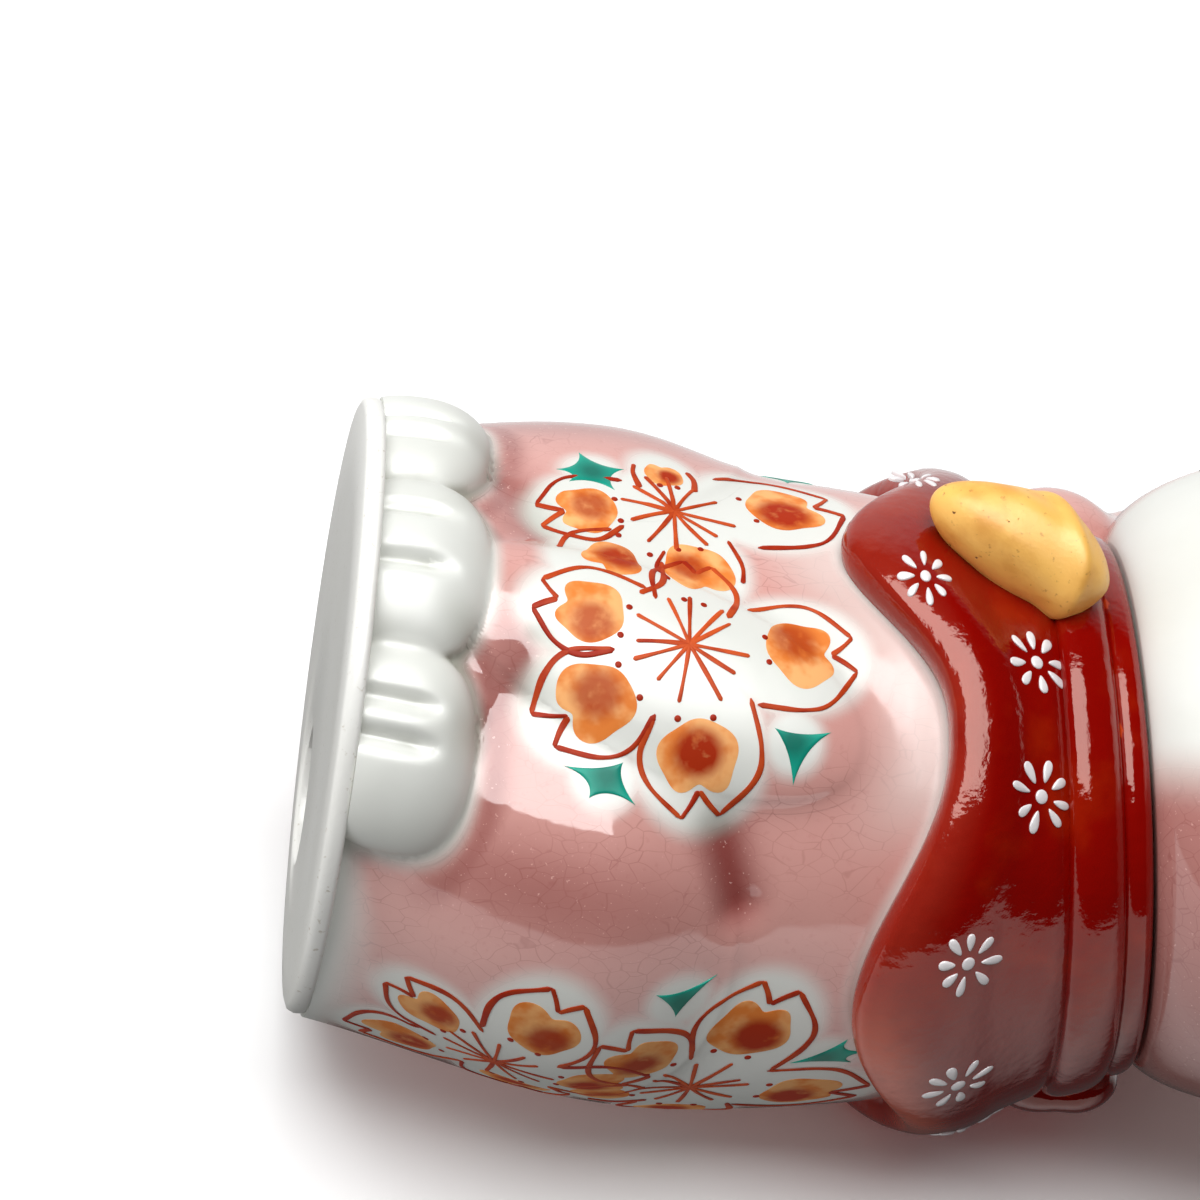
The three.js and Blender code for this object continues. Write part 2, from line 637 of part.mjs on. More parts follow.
const head = new THREE.Group();
head.add(
  part("head_shell", headShell(), whiteGlaze()),
  part("left_ear", ear(1), pinkGlaze()),
  part("right_ear", ear(-1), pinkGlaze()),
);

const arm = new THREE.Group();
arm.add(
  part("raised_arm", cut(armSolid(0), ...neckwear), pinkGlaze()),
  part("raised_paw", raisedPaw(), whiteGlaze()),
);

const collar = new THREE.Group();
collar.add(
  part("bib", bibSolid(0), redEnamel()),
  part("collar_band", bandSolid(0), redEnamel()),
  part("collar_piping", pipingSolid(0), redEnamel()),
  part("bell", bell(), goldEnamel()),
  part("bow_knot", cut(bowKnot(0), ...neckwear), redEnamel()),
  part("left_bow_loop", bowLoop(-1), redEnamel()),
  part("right_bow_loop", bowLoop(1), redEnamel()),
);

const group = new THREE.Group();
group.add(body, head, arm, collar);

export default group;
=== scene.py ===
import math

import bpy
import numpy as np
from mathutils import Matrix


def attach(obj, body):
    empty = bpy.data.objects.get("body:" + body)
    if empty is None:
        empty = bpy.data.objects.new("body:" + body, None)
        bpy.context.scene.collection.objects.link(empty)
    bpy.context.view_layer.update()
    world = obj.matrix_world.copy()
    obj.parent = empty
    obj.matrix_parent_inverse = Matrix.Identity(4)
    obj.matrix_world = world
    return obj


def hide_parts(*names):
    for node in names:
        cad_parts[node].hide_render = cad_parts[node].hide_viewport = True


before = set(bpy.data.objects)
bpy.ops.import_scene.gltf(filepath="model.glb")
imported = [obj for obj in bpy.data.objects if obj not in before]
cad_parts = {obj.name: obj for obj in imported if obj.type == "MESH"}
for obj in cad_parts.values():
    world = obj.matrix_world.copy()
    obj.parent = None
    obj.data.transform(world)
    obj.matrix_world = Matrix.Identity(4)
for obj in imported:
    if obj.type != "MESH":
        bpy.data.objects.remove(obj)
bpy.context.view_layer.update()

# Floor slab
# A disc of white clay, rolled out and luted with slip to the foot of the cast body, which it closes.
# It reaches forward as a ledge under the toes, has a drain hole behind its middle and is wiped bare below.
MM = 0.001
SLAB_RADIUS = 37.2
SLAB_THICKNESS = 2.4
SLAB_EDGE_ROUND = 1
TOE_LEDGE = 5
DRAIN_RADIUS = 8.8
DRAIN_BEHIND = 20
SLAB_COLUMNS = 160


def quads_between(rows, columns, wraps):
    """Faces between neighbouring rows of corners. Each row is a loop, and the rows may wrap as well."""
    row = np.arange(rows if wraps else rows - 1)[:, None]
    column = np.arange(columns)[None, :]
    beside = (column + 1) % columns
    above = (row + 1) % rows
    loop = [
        row * columns + column,
        row * columns + beside,
        above * columns + beside,
        above * columns + column,
    ]
    return np.stack(np.broadcast_arrays(*loop), axis=-1).reshape(-1, 4)


def ring_body(rings):
    """Closed body of a section that is wound round in a circle."""
    rows, columns = rings.shape[:2]
    return rings.reshape(-1, 3), [quads_between(rows, columns, True)]


def stack_body(rings):
    """Closed body of rings laid on each other, with a fan of faces over each end."""
    rows, columns = rings.shape[:2]
    corners = np.concatenate([rings.reshape(-1, 3), rings[:1].mean(1), rings[-1:].mean(1)])
    column = np.arange(columns)
    beside = (column + 1) % columns
    foot = np.full(columns, rows * columns)
    last = (rows - 1) * columns
    lower_fan = np.stack([foot, beside, column], 1)
    upper_fan = np.stack([foot + 1, last + column, last + beside], 1)
    return corners, [quads_between(rows, columns, False), lower_fan, upper_fan]


def volume_of(corners, faces):
    """Six times the signed volume between the faces and the origin."""
    total = 0
    for k in range(1, faces.shape[1] - 1):
        normals = np.cross(corners[faces[:, k]], corners[faces[:, k + 1]])
        total += np.sum(corners[faces[:, 0]] * normals)
    return total


def make_piece(name, bodies, finish, sharp=60):
    """Mesh object of closed bodies given in millimetres, shaded smooth, riding on the figure."""
    corners = []
    faces = []
    count = 0
    for body_corners, face_sets in bodies:
        middle = body_corners.mean(0)
        inside_out = sum(volume_of(body_corners - middle, face_set) for face_set in face_sets) < 0
        for face_set in face_sets:
            outward = face_set[:, ::-1] if inside_out else face_set
            faces.extend((outward + count).tolist())
        corners.append(body_corners)
        count += len(body_corners)
    mesh = bpy.data.meshes.new(name)
    mesh.from_pydata((np.concatenate(corners) * MM).tolist(), [], faces)
    mesh.shade_smooth()
    mesh.set_sharp_from_angle(angle=math.radians(sharp))
    mesh.materials.append(finish)
    piece = bpy.data.objects.new(name, mesh)
    bpy.context.scene.collection.objects.link(piece)
    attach(piece, "root")
    return piece


def colour(red, green, blue):
    """Paint colour as it looks, from 0 to 255 in each channel, as the shader's linear light."""
    looks = np.array([red, green, blue]) / 255
    linear = np.where(looks <= 0.04045, looks / 12.92, ((looks + 0.055) / 1.055) ** 2.4)
    return (*linear.tolist(), 1.0)


class Finish:
    """A material in the making: its shader, and ways to add linked nodes to it."""

    def __init__(self, name):
        self.material = bpy.data.materials.new(name)
        self.material.use_nodes = True
        self.tree = self.material.node_tree
        self.shader = self.tree.nodes["Principled BSDF"]
        self.place = self.add("ShaderNodeTexCoord", {}).outputs["Object"]

    def join(self, socket, value):
        if isinstance(value, bpy.types.NodeSocket):
            self.tree.links.new(value, socket)
        else:
            socket.default_value = value

    def add(self, kind, inputs, **settings):
        node = self.tree.nodes.new(kind)
        for name, value in settings.items():
            setattr(node, name, value)
        for name, value in inputs.items():
            self.join(node.inputs[name], value)
        return node

    def set(self, **inputs):
        """Sets or links the shader's own sockets; words in their names are joined by _."""
        for name, value in inputs.items():
            self.join(self.shader.inputs[name.replace("_", " ")], value)

    def noise(self, size, detail=3, output="Fac"):
        """Cloudy noise whose clouds are about this many millimetres wide."""
        inputs = {"Vector": self.place, "Scale": 1 / (size * MM), "Detail": detail}
        return self.add("ShaderNodeTexNoise", inputs).outputs[output]

    def band(self, value, low, high):
        """Share of the way from low to high, eased, and held to 0 and 1 outside them."""
        inputs = {"Value": value, "From Min": low, "From Max": high}
        return self.add("ShaderNodeMapRange", inputs, interpolation_type="SMOOTHSTEP").outputs["Result"]

    def math(self, operation, first, second):
        inputs = {0: first, 1: second}
        return self.add("ShaderNodeMath", inputs, operation=operation, use_clamp=True).outputs[0]

    def blend(self, share, under, over):
        """Colour under where the share is 0 and over where it is 1."""
        inputs = {0: share, 6: under, 7: over}
        return self.add("ShaderNodeMix", inputs, data_type="RGBA").outputs[2]

    def painted(self, name):
        """Value painted on the mesh's corners under a name."""
        return self.add("ShaderNodeAttribute", {}, attribute_name=name).outputs["Fac"]

    def bump(self, height, depth, under=None):
        """Normal of a surface raised by this many millimetres where the height is 1."""
        inputs = {"Height": height, "Distance": depth * MM}
        if under:
            inputs["Normal"] = under
        return self.add("ShaderNodeBump", inputs).outputs["Normal"]


CLAY_SHADES = [colour(234, 233, 227), colour(243, 243, 239)]
CLAY_SPECK = colour(206, 200, 188)


def bare_clay_finish():
    finish = Finish("bare_clay")
    speck = finish.band(finish.noise(0.9, 6), 0.62, 0.74)
    cloud = finish.blend(finish.noise(14), *CLAY_SHADES)
    finish.set(Base_Color=finish.blend(speck, cloud, CLAY_SPECK), Roughness=0.3)
    finish.set(Normal=finish.bump(finish.noise(0.7, 6), 0.04))
    return finish.material


def full_turn(count):
    """Bearings in radians of places spread evenly round a full turn."""
    return np.linspace(0, 2 * math.pi, count, endpoint=False)


def slab_rings():
    bearing = full_turn(SLAB_COLUMNS)
    way = np.stack([np.sin(bearing), -np.cos(bearing)], -1)
    facing = np.clip(np.cos(bearing), 0, None)[:, None]
    rim = way * (SLAB_RADIUS + TOE_LEDGE * facing**2)
    hole = way * DRAIN_RADIUS + np.array([0, DRAIN_BEHIND])
    soft = SLAB_EDGE_ROUND
    top = SLAB_THICKNESS
    # Each ring: its share of the way from the drain hole to the rim, its inset from there and its height.
    underside = [(0, 0, 0.5), (0.04, 0, 0), (0.4, 0, 0), (0.75, 0, 0)]
    outer_edge = [(1, soft, 0), (1, 0.3 * soft, 0.3 * soft), (1, 0, soft), (1, 0, top - 0.6)]
    upper_side = [(1, 0.2, top - 0.15), (1, 0.7, top), (0.5, 0, top), (0, 0, top)]
    rings = []
    for share, inset, height in underside + outer_edge + upper_side:
        flat = hole + (rim - way * inset - hole) * share
        rings.append(np.concatenate([flat, np.full((SLAB_COLUMNS, 1), height)], -1))
    return np.array(rings)


bare_clay = bare_clay_finish()
slab = make_piece("floor_slab", [ring_body(slab_rings())], bare_clay)
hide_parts("base_floor")

# Leg, paw and tail sprigs
# Low pads of clay pressed in moulds: two haunches, the lowered foreleg, three paws with toes, and the tail.
# They are luted to the body with slip while it is damp and smoothed over, so their edges melt into it.
SLIP_JOINT = 0.3
FOOT_SINK = 0.1
FOOT_HEIGHT = SLAB_THICKNESS - FOOT_SINK
NECK_HEIGHT = 102
NECK_DIP = 6.7
HEAD_TURN = -16
HEAD_CENTRE = 130
HEAD_FORWARD = 6.5
HEAD_ASIDE = 3.5
TORSO_HEIGHTS = [SLAB_THICKNESS, 45, 74, NECK_HEIGHT]
TORSO_RADII = [36.4, 40.4, 37.7, 31]
TORSO_LEANS = [2.4, 8.4, 5, 0]
SPRIG_BED = 2.2
SPRIG_COLUMNS = 180
SPRIG_ROWS = 52
SPRIG_REACH = 1.1
RIM_FALL = 20
TOE_GROOVE_DEPTH = 1.5
TOE_GROOVE_HALF_WIDTH = 1.0
TOE_GROOVE_END = (8, 13)
# Each crease: where it starts and ends, as angle and height, its depth and its half width.
CREASES = [
    ((38, 46), (49, 49), 1.5, 2.8),
    ((13, 22), (29, 16.5), 0.9, 3),
    ((-13, 22), (-29, 16.5), 0.9, 3),
]


def wrapped(angle):
    return (angle + 180) % 360 - 180


def eased(value, low, high):
    """Share of the way from low to high, eased at both ends."""
    share = np.clip((value - low) / (high - low), 0, 1)
    return share * share * (3 - 2 * share)


def curve_through(stops, values):
    """Smooth function of height through the stops, level beyond the first and the last."""
    stops = np.array(stops, float)
    values = np.array(values, float)
    slopes = np.gradient(values, stops)

    def at(height):
        held = np.clip(height, stops[0], stops[-1])
        i = np.clip(np.searchsorted(stops, held, side="right") - 1, 0, len(stops) - 2)
        gap = stops[i + 1] - stops[i]
        t = (held - stops[i]) / gap
        start = values[i] * (1 + 2 * t) * (1 - t) ** 2 + slopes[i] * gap * t * (1 - t) ** 2
        end = values[i + 1] * t**2 * (3 - 2 * t) + slopes[i + 1] * gap * t**2 * (t - 1)
        return start + end

    return at


torso_radius = curve_through(TORSO_HEIGHTS, TORSO_RADII)
spine_lean = curve_through([*TORSO_HEIGHTS, HEAD_CENTRE], [*TORSO_LEANS, -HEAD_FORWARD])


def head_rise(height):
    """Share of the way from the neck's girth to the head's full girth, along a quarter circle."""
    left = 1 - np.clip((height - NECK_HEIGHT) / (HEAD_CENTRE - NECK_HEIGHT), 0, 1)
    return np.sqrt(1 - left**2)


def level_tilt(height):
    """Forward tilt of the figure's levels, which grows from the belly up to the neck."""
    return NECK_DIP / TORSO_RADII[-1] * eased(height, TORSO_HEIGHTS[1], NECK_HEIGHT)


def around_spine(angle, height, distance):
    """Points at angles about the leaning spine, in degrees from the front toward the cat's left."""
    angle, height, distance = np.broadcast_arrays(angle, height, distance)
    turn = np.radians(angle)
    x = distance * np.sin(turn) - HEAD_ASIDE * head_rise(height)
    y = spine_lean(height) - distance * np.cos(turn)
    dip = level_tilt(height) * distance * np.cos(turn - math.radians(HEAD_TURN))
    return np.stack([x, y, height - dip], -1)


def sprig(angle, height, half_length, half_height, swell, **more):
    """Place and sizes of a sprig. What isn't said is as on a plain soft pad."""
    spot = {"slant": 0, "squareness": 2, "softness": 0.75, "melt": 2.6, "edge": 0.2, "grooves": ()}
    spot.update(angle=angle, height=height, half_length=half_length, half_height=half_height)
    spot.update(below=half_height, swell=swell, proud=0.02)
    spot.update(more)
    return spot


def paw(angle, *grooves):
    """Paw that is fullest near the floor, with toe grooves so many millimetres from its middle."""
    sizes = {"height": 6.6, "half_length": 11.8, "half_height": 9.4, "below": 9, "swell": 5.4}
    edges = {"squareness": 2.5, "softness": 0.5, "melt": 1.2, "edge": 0.9, "proud": 0.05}
    return sprig(angle, grooves=grooves, **sizes, **edges)


def haunch(angle, swell):
    sizes = {"height": 31.3, "half_length": 28, "half_height": 18.5, "below": 25}
    return sprig(angle, swell=swell, softness=1.25, melt=2, **sizes)


foreleg_sizes = {"height": 36.7, "half_length": 12, "half_height": 26, "swell": 4.2}
tail_sizes = {"height": 12.2, "half_length": 15, "half_height": 8, "swell": 4.5}
SPRIGS = {
    "left_haunch": haunch(62, swell=5.7),
    "right_haunch": haunch(-62, swell=3.8),
    "left_foreleg": sprig(12, slant=10, proud=0.03, **foreleg_sizes),
    "tail": sprig(-140, softness=0.5, melt=1, edge=1.1, **tail_sizes),
    "left_forepaw": paw(0.5, -4.6, 2),
    "left_hind_paw": paw(34, -4.9, -0.9),
    "right_hind_paw": paw(-34, 0.9, 4.9),
}


def spread_on(spot, angle, height):
    """How far a place lies out toward a sprig's rim, 1 at the rim, and its share sideways."""
    up = (height - spot["height"]) / np.where(height > spot["height"], spot["half_height"], spot["below"])
    turn = wrapped(angle - spot["angle"] - spot["slant"] * up)
    side = np.radians(turn) * torso_radius(spot["height"]) / spot["half_length"]
    power = spot["squareness"]
    return (np.abs(side) ** power + np.abs(up) ** power) ** (1 / power), side


def sprig_lift(spot, angle, height):
    """Height of a sprig's face above the torso, falling away below it outside the rim."""
    spread, side = spread_on(spot, angle, height)
    dome = np.clip(1 - spread**2, 0, 1) ** spot["softness"]
    lift = spot["edge"] + spot["swell"] * dome - RIM_FALL * np.clip(spread - 1, 0, None)
    for groove in spot["grooves"]:
        across = (side * spot["half_length"] - groove) / TOE_GROOVE_HALF_WIDTH
        below_end = 1 - eased(height, *TOE_GROOVE_END)
        lift = lift - TOE_GROOVE_DEPTH * dome * np.exp(-(across**2)) * below_end
    return lift


def melted(low, high, width):
    """The higher of two surfaces, with the corner between them rounded over a width."""
    return (low + high + np.sqrt((low - high) ** 2 + width**2)) / 2


def crease_share(angle, height, start, finish, half_width):
    """How near a place lies to a crease, 1 in its middle line."""
    girth = math.radians(1) * torso_radius(start[1])
    run = np.array([(finish[0] - start[0]) * girth, finish[1] - start[1]])
    across = wrapped(angle - start[0]) * girth
    up = height - start[1]
    along = np.clip((across * run[0] + up * run[1]) / np.dot(run, run), 0, 1)
    away = np.hypot(across - along * run[0], up - along * run[1])
    return np.exp(-((away / half_width) ** 2))


def skin_radius(angle, height):
    """Distance of the glazed body's surface from the spine, sprigs included."""
    lift = np.zeros(np.broadcast(angle, height).shape)
    for spot in SPRIGS.values():
        lift = melted(lift, sprig_lift(spot, angle, height), spot["melt"])
    for start, finish, depth, half_width in CREASES:
        lift = lift - depth * crease_share(angle, height, start, finish, half_width)
    return torso_radius(height) + lift


def sprig_rings(spot):
    """Rings from the middle of a sprig's face out to its rim and back underneath."""
    bearing = full_turn(SPRIG_COLUMNS)
    power = spot["squareness"]
    corner = (np.abs(np.cos(bearing)) ** power + np.abs(np.sin(bearing)) ** power) ** (-1 / power)
    reaches = np.linspace(0.01, SPRIG_REACH, SPRIG_ROWS)
    face = [(reach, -spot["proud"]) for reach in reaches]
    underside = [(reach, SPRIG_BED) for reach in reaches[::-4]]
    rings = []
    for reach, depth in face + underside:
        up = np.sin(bearing) * corner * reach
        side = np.cos(bearing) * corner * reach
        rise = up * np.where(up > 0, spot["half_height"], spot["below"])
        height = np.maximum(spot["height"] + rise, FOOT_HEIGHT)
        swing = np.degrees(side * spot["half_length"] / torso_radius(spot["height"]))
        angle = spot["angle"] + spot["slant"] * up + swing
        rings.append(around_spine(angle, height, skin_radius(angle, height) - depth))
    return np.array(rings)


# The pieces that get the glaze are bare clay until the section on the glaze paints them.
glazed_pieces = []
for node, spot in SPRIGS.items():
    piece = make_piece(node + "_sprig", [stack_body(sprig_rings(spot))], bare_clay, sharp=40)
    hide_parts(node)
    glazed_pieces.append(piece)

# Torso casting
# The hollow trunk, cast in slip in a two-part mould: a barrel that leans back at the belly.
# It narrows to the neck, has shallow seats for the sprigs, and stays open at the neck and at the foot.
TORSO_WALL = 4
SEAT_DEPTH = 1.2
SEAT_RIM = (0.97, 1.05)
TORSO_COLUMNS = 480
TORSO_ROWS = 190
HOLLOW_ROWS = 24


def all_angles(count):
    """Angles in degrees of places spread evenly round the spine, from the back."""
    return np.linspace(-180, 180, count, endpoint=False)


def torso_rings():
    angle = all_angles(TORSO_COLUMNS)
    rings = []
    for height in np.linspace(FOOT_HEIGHT, NECK_HEIGHT, TORSO_ROWS):
        seat = np.zeros(TORSO_COLUMNS)
        for spot in SPRIGS.values():
            seat = np.maximum(seat, 1 - eased(spread_on(spot, angle, height)[0], *SEAT_RIM))
        rings.append(around_spine(angle, height, skin_radius(angle, height) - SEAT_DEPTH * seat))
    for height in np.linspace(NECK_HEIGHT, FOOT_HEIGHT, HOLLOW_ROWS):
        rings.append(around_spine(angle, height, torso_radius(height) - TORSO_WALL))
    return np.array(rings)


torso = make_piece("torso_casting", [ring_body(torso_rings())], bare_clay)
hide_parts("body_shell")
glazed_pieces.append(torso)

# Head casting and ears
# The head is a second hollow casting, turned a little to the cat's right and luted on at the neck.
# The ears are pressed cones, hollowed at the front and luted to the crown.
HEAD_CROWN = 37
HEAD_HALF_WIDTH = 46
HEAD_HALF_DEPTH = 37.5
HEAD_FULLNESS = 2.3
NECK_RADIUS = TORSO_RADII[-1]
MUZZLE_SWELL = 3
MUZZLE_HALF_WIDTH = 19
MUZZLE_HALF_HEIGHT = 13
MUZZLE_BELOW = 11
HEAD_COLUMNS = 300
HEAD_ROWS = 60
HEAD_END_TILT = 89.4
EAR_HALF_SIZES = np.array([16, 9.5, 25])
EAR_ABOVE = 27
EAR_SPREAD = 23
EAR_SPLAY = 17
EAR_NARROWING = 0.5
EAR_HOLLOW = 4.5
EAR_HOLLOW_UP = 7
EAR_HOLLOW_HALF_HEIGHT = 9
EAR_HOLLOW_WIDTH = 0.62
EAR_LEAST_GIRTH = 0.2
EAR_TILTS = (-40, 89)
EAR_COLUMNS = 96
EAR_ROWS = 60


def head_radius(angle, height):
    """Distance of the head's surface from the spine."""
    turned = np.radians(angle - HEAD_TURN)
    rise = head_rise(height)
    width = NECK_RADIUS + (HEAD_HALF_WIDTH - NECK_RADIUS) * rise
    depth = NECK_RADIUS + (HEAD_HALF_DEPTH - NECK_RADIUS) * rise
    oval = 1 / np.hypot(np.sin(turned) / width, np.cos(turned) / depth)
    across = oval * np.sin(turned) / MUZZLE_HALF_WIDTH
    along = (height - HEAD_CENTRE + MUZZLE_BELOW) / MUZZLE_HALF_HEIGHT
    swell = np.where(np.cos(turned) > 0, MUZZLE_SWELL * np.exp(-(across**2) - along**2), 0)
    share = np.clip((height - HEAD_CENTRE) / HEAD_CROWN, 0, 1)
    return oval * (1 - share**HEAD_FULLNESS) ** (1 / HEAD_FULLNESS) + swell


def head_rings():
    angle = all_angles(HEAD_COLUMNS)
    turns = np.radians(np.linspace(0, HEAD_END_TILT, HEAD_ROWS))
    crown = HEAD_CENTRE + HEAD_CROWN * np.sin(turns[::-1])
    neck = HEAD_CENTRE - (HEAD_CENTRE - NECK_HEIGHT - SLIP_JOINT) * np.sin(turns[1:])
    rings = [around_spine(angle, height, head_radius(angle, height)) for height in [*crown, *neck]]
    share = 1 - TORSO_WALL / HEAD_HALF_DEPTH
    for height in [*neck[::-6], *crown[::-6]]:
        sunk = TORSO_WALL / HEAD_CROWN if height > HEAD_CENTRE else 0
        lowered = HEAD_CENTRE + (height - HEAD_CENTRE) * (1 - sunk)
        rings.append(around_spine(angle, lowered, head_radius(angle, height) * share))
    return np.array(rings)


def ear_seat(side):
    """Turn and root of an ear on the head."""
    turn = Matrix.Rotation(math.radians(HEAD_TURN), 3, "Z")
    splay = Matrix.Rotation(math.radians(EAR_SPLAY * side), 3, "Y")
    root = around_spine(HEAD_TURN + 90 * side, HEAD_CENTRE + EAR_ABOVE, EAR_SPREAD)
    return np.array(turn @ splay), root


def ear_rings(side):
    spin, root = ear_seat(side)
    bearing = full_turn(EAR_COLUMNS)
    rings = []
    for tilt in np.radians(np.linspace(*EAR_TILTS, EAR_ROWS)):
        girth = math.cos(tilt) * (1 - EAR_NARROWING * max(0, math.sin(tilt)))
        rise = np.full(EAR_COLUMNS, math.sin(tilt))
        ring = np.stack([np.cos(bearing) * girth, np.sin(bearing) * girth, rise], -1) * EAR_HALF_SIZES
        across = ring[:, 0] / (EAR_HALF_SIZES[0] * EAR_HOLLOW_WIDTH * max(girth, EAR_LEAST_GIRTH))
        up = (ring[:, 2] - EAR_HOLLOW_UP) / EAR_HOLLOW_HALF_HEIGHT
        dent = EAR_HOLLOW * np.exp(-(across**2) - up**2)
        ring[:, 1] += np.where(ring[:, 1] < 0, dent, 0)
        rings.append(ring @ spin.T + root)
    return np.array(rings)


head = make_piece("head_casting", [stack_body(head_rings())], bare_clay)
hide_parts("head_shell")
glazed_pieces.append(head)
ears = {}
for node, side in (("left_ear", 1), ("right_ear", -1)):
    piece = make_piece(node + "_cone", [stack_body(ear_rings(side))], bare_clay)
    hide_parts(node)
    glazed_pieces.append(piece)
    ears[piece.name] = side

# Raised arm and paw
# The cat's right arm is a bent roll of clay luted at the shoulder and along the cheek, lifted to beckon.
# Its paw is a separate lump, bent forward at the wrist, with toe grooves drawn down its face.
ARM_RADIUS = 10.5
# Each stop of the arm's path: its angle and height, and how far it lies out from the figure.
ARM_STOPS = [(-74, 91, 0.8), (-106, 106, 1), (-108, 126, 4.5), (-88, 145, 12)]
PAW_HALF_SIZES = np.array([11.4, 13, 11.5])
PAW_SHIFT = np.array([0, -4, 4])
PAW_GROOVE_OFFSET = 4
ARM_COLUMNS = 96
ARM_ROWS = 80
ARM_END_ROUND = 0.995
PAW_END_TILT = 89


def figure_radius(angle, height):
    return np.where(height <= NECK_HEIGHT, torso_radius(height), head_radius(angle, height))


def beside_figure(angle, height, out):
    """Points so far out from the surface of the plain torso and head."""
    return around_spine(angle, height, figure_radius(angle, height) + out)


def smooth_path(stops, count):
    """Points of a smooth curve through the stops, evenly spread between each two."""
    stops = np.array(stops, float)
    ends = np.concatenate([[2 * stops[0] - stops[1]], stops, [2 * stops[-1] - stops[-2]]])
    points = []
    for share in np.linspace(0, len(stops) - 1.001, count):
        i = int(share)
        t = share - i
        a, b, c, d = ends[i : i + 4]
        points.append(b + 0.5 * t * (c - a + t * (2 * a - 5 * b + 4 * c - d + t * (3 * (b - c) + d - a))))
    return np.array(points)


def run_along(path):
    """Length run along a path up to each of its points."""
    return np.concatenate([[0], np.cumsum(np.linalg.norm(np.diff(path, axis=0), axis=1))])


def arm_rings():
    path = smooth_path([beside_figure(*stop) for stop in ARM_STOPS], ARM_ROWS)
    along = np.gradient(path, axis=0)
    along /= np.linalg.norm(along, axis=1)[:, None]
    side = np.cross(along, np.array([0, -1, 0]))
    side /= np.linalg.norm(side, axis=1)[:, None]
    front = np.cross(side, along)
    bearing = full_turn(ARM_COLUMNS)
    run = run_along(path)
    to_end = np.minimum(run, run[-1] - run) / ARM_RADIUS
    girth = ARM_RADIUS * np.sqrt(1 - np.clip(1 - to_end, 0, ARM_END_ROUND) ** 2)
    ring = side[:, None] * np.cos(bearing)[:, None] + front[:, None] * np.sin(bearing)[:, None]
    return path[:, None] + ring * girth[:, None, None]


def raised_paw_rings():
    centre = beside_figure(*ARM_STOPS[-1]) + PAW_SHIFT
    bearing = full_turn(ARM_COLUMNS)
    rings = []
    for tilt in np.radians(np.linspace(-PAW_END_TILT, PAW_END_TILT, ARM_ROWS)):
        rise = np.full(ARM_COLUMNS, math.sin(tilt))
        ring = np.stack([np.cos(bearing) * math.cos(tilt), np.sin(bearing) * math.cos(tilt), rise], -1)
        across = np.abs(ring[:, 0] * PAW_HALF_SIZES[0]) - PAW_GROOVE_OFFSET
        in_groove = np.exp(-((across / TOE_GROOVE_HALF_WIDTH) ** 2))
        groove = TOE_GROOVE_DEPTH * in_groove * np.clip(-ring[:, 1], 0, 1)
        ring = ring * PAW_HALF_SIZES
        ring[:, 1] += groove
        rings.append(ring + centre)
    return np.array(rings)


raised_arm = make_piece("raised_arm_roll", [stack_body(arm_rings())], bare_clay)
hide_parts("raised_arm")
raised_paw = make_piece("raised_paw_lump", [stack_body(raised_paw_rings())], bare_clay)
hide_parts("raised_paw")
glazed_pieces += [raised_arm, raised_paw]

# Bib
# A scalloped bib of clay laid round the shoulders in lobes, with a rolled hem along its lower edge.
# It is painted in iron-red enamel over the glaze, glassy and a little rippled, thinner along the edges.
# The hem of the side lobes is painted lighter still, as a painted reflection of the bright table.
COLLAR_FOOT = 91.6
BIB_THICKNESS = 5
BIB_NOTCH_FALL = 16.6
BIB_FRONT_DROP = 15
BIB_SIDE_DROP = 9.8
BIB_BACK_DROP = 7.2
BIB_FRONT_NOTCH = 36.5
BIB_BACK_NOTCH = 128
BIB_COLUMNS = 480
BIB_FACE_ROWS = 44
BIB_BACK_ROWS = 10
BIB_BACK_FOOT = 0.1
SLIP_BED = 0.4
# The bib's section: rises from its lower edge to the collar, and shares of its thickness there.
BIB_HEM = [(0.02, 0), (0.005, 0.12), (0, 0.3), (0.008, 0.5), (0.025, 0.68)]
BIB_FACE_RISES = [0.05, 0.14, 0.28, 0.42, 0.54, 0.66, 0.8, 0.94, 1.03]
BIB_FACE_SHARES = [0.8, 0.93, 1, 0.99, 0.88, 0.7, 0.58, 0.48, 0.3]
# The enamel is thinner over these rises of the hem; between these angles from the front the hem is
# lightest, a painted reflection of the table.
HEM_RISES = (0.1, 0.4)
HEM_REFLECTION_STARTS = (74, 98)
HEM_REFLECTION_ENDS = (116, 140)
HEM_LEAST = 0.12
RED_SHADES = [colour(114, 2, 0), colour(146, 7, 1)]
RED_WORN = colour(190, 58, 8)
# Salmon of the thin hem and of the table's painted reflection on it.
RED_THIN_HEM_AND_REFLECTION = colour(212, 96, 70)
RED_SHEEN = colour(255, 232, 220)
SETTLING_ROUNDS = 6

bib_face = curve_through(BIB_FACE_RISES, BIB_FACE_SHARES)


def lobe_drop(angle):
    """Drop of the bib's lobes below the notches between them."""
    turned = np.abs(wrapped(angle - HEAD_TURN))
    front = BIB_FRONT_DROP * np.cos(math.pi / 2 * turned / BIB_FRONT_NOTCH) ** 3
    side_share = (turned - BIB_FRONT_NOTCH) / (BIB_BACK_NOTCH - BIB_FRONT_NOTCH)
    side = BIB_SIDE_DROP * np.sin(math.pi * side_share) ** 2
    back = BIB_BACK_DROP * np.sin(math.pi / 2 * (turned - BIB_BACK_NOTCH) / (180 - BIB_BACK_NOTCH)) ** 2
    return np.where(turned < BIB_FRONT_NOTCH, front, np.where(turned < BIB_BACK_NOTCH, side, back))


def bib_foot(angle):
    return COLLAR_FOOT - BIB_NOTCH_FALL - lobe_drop(angle)


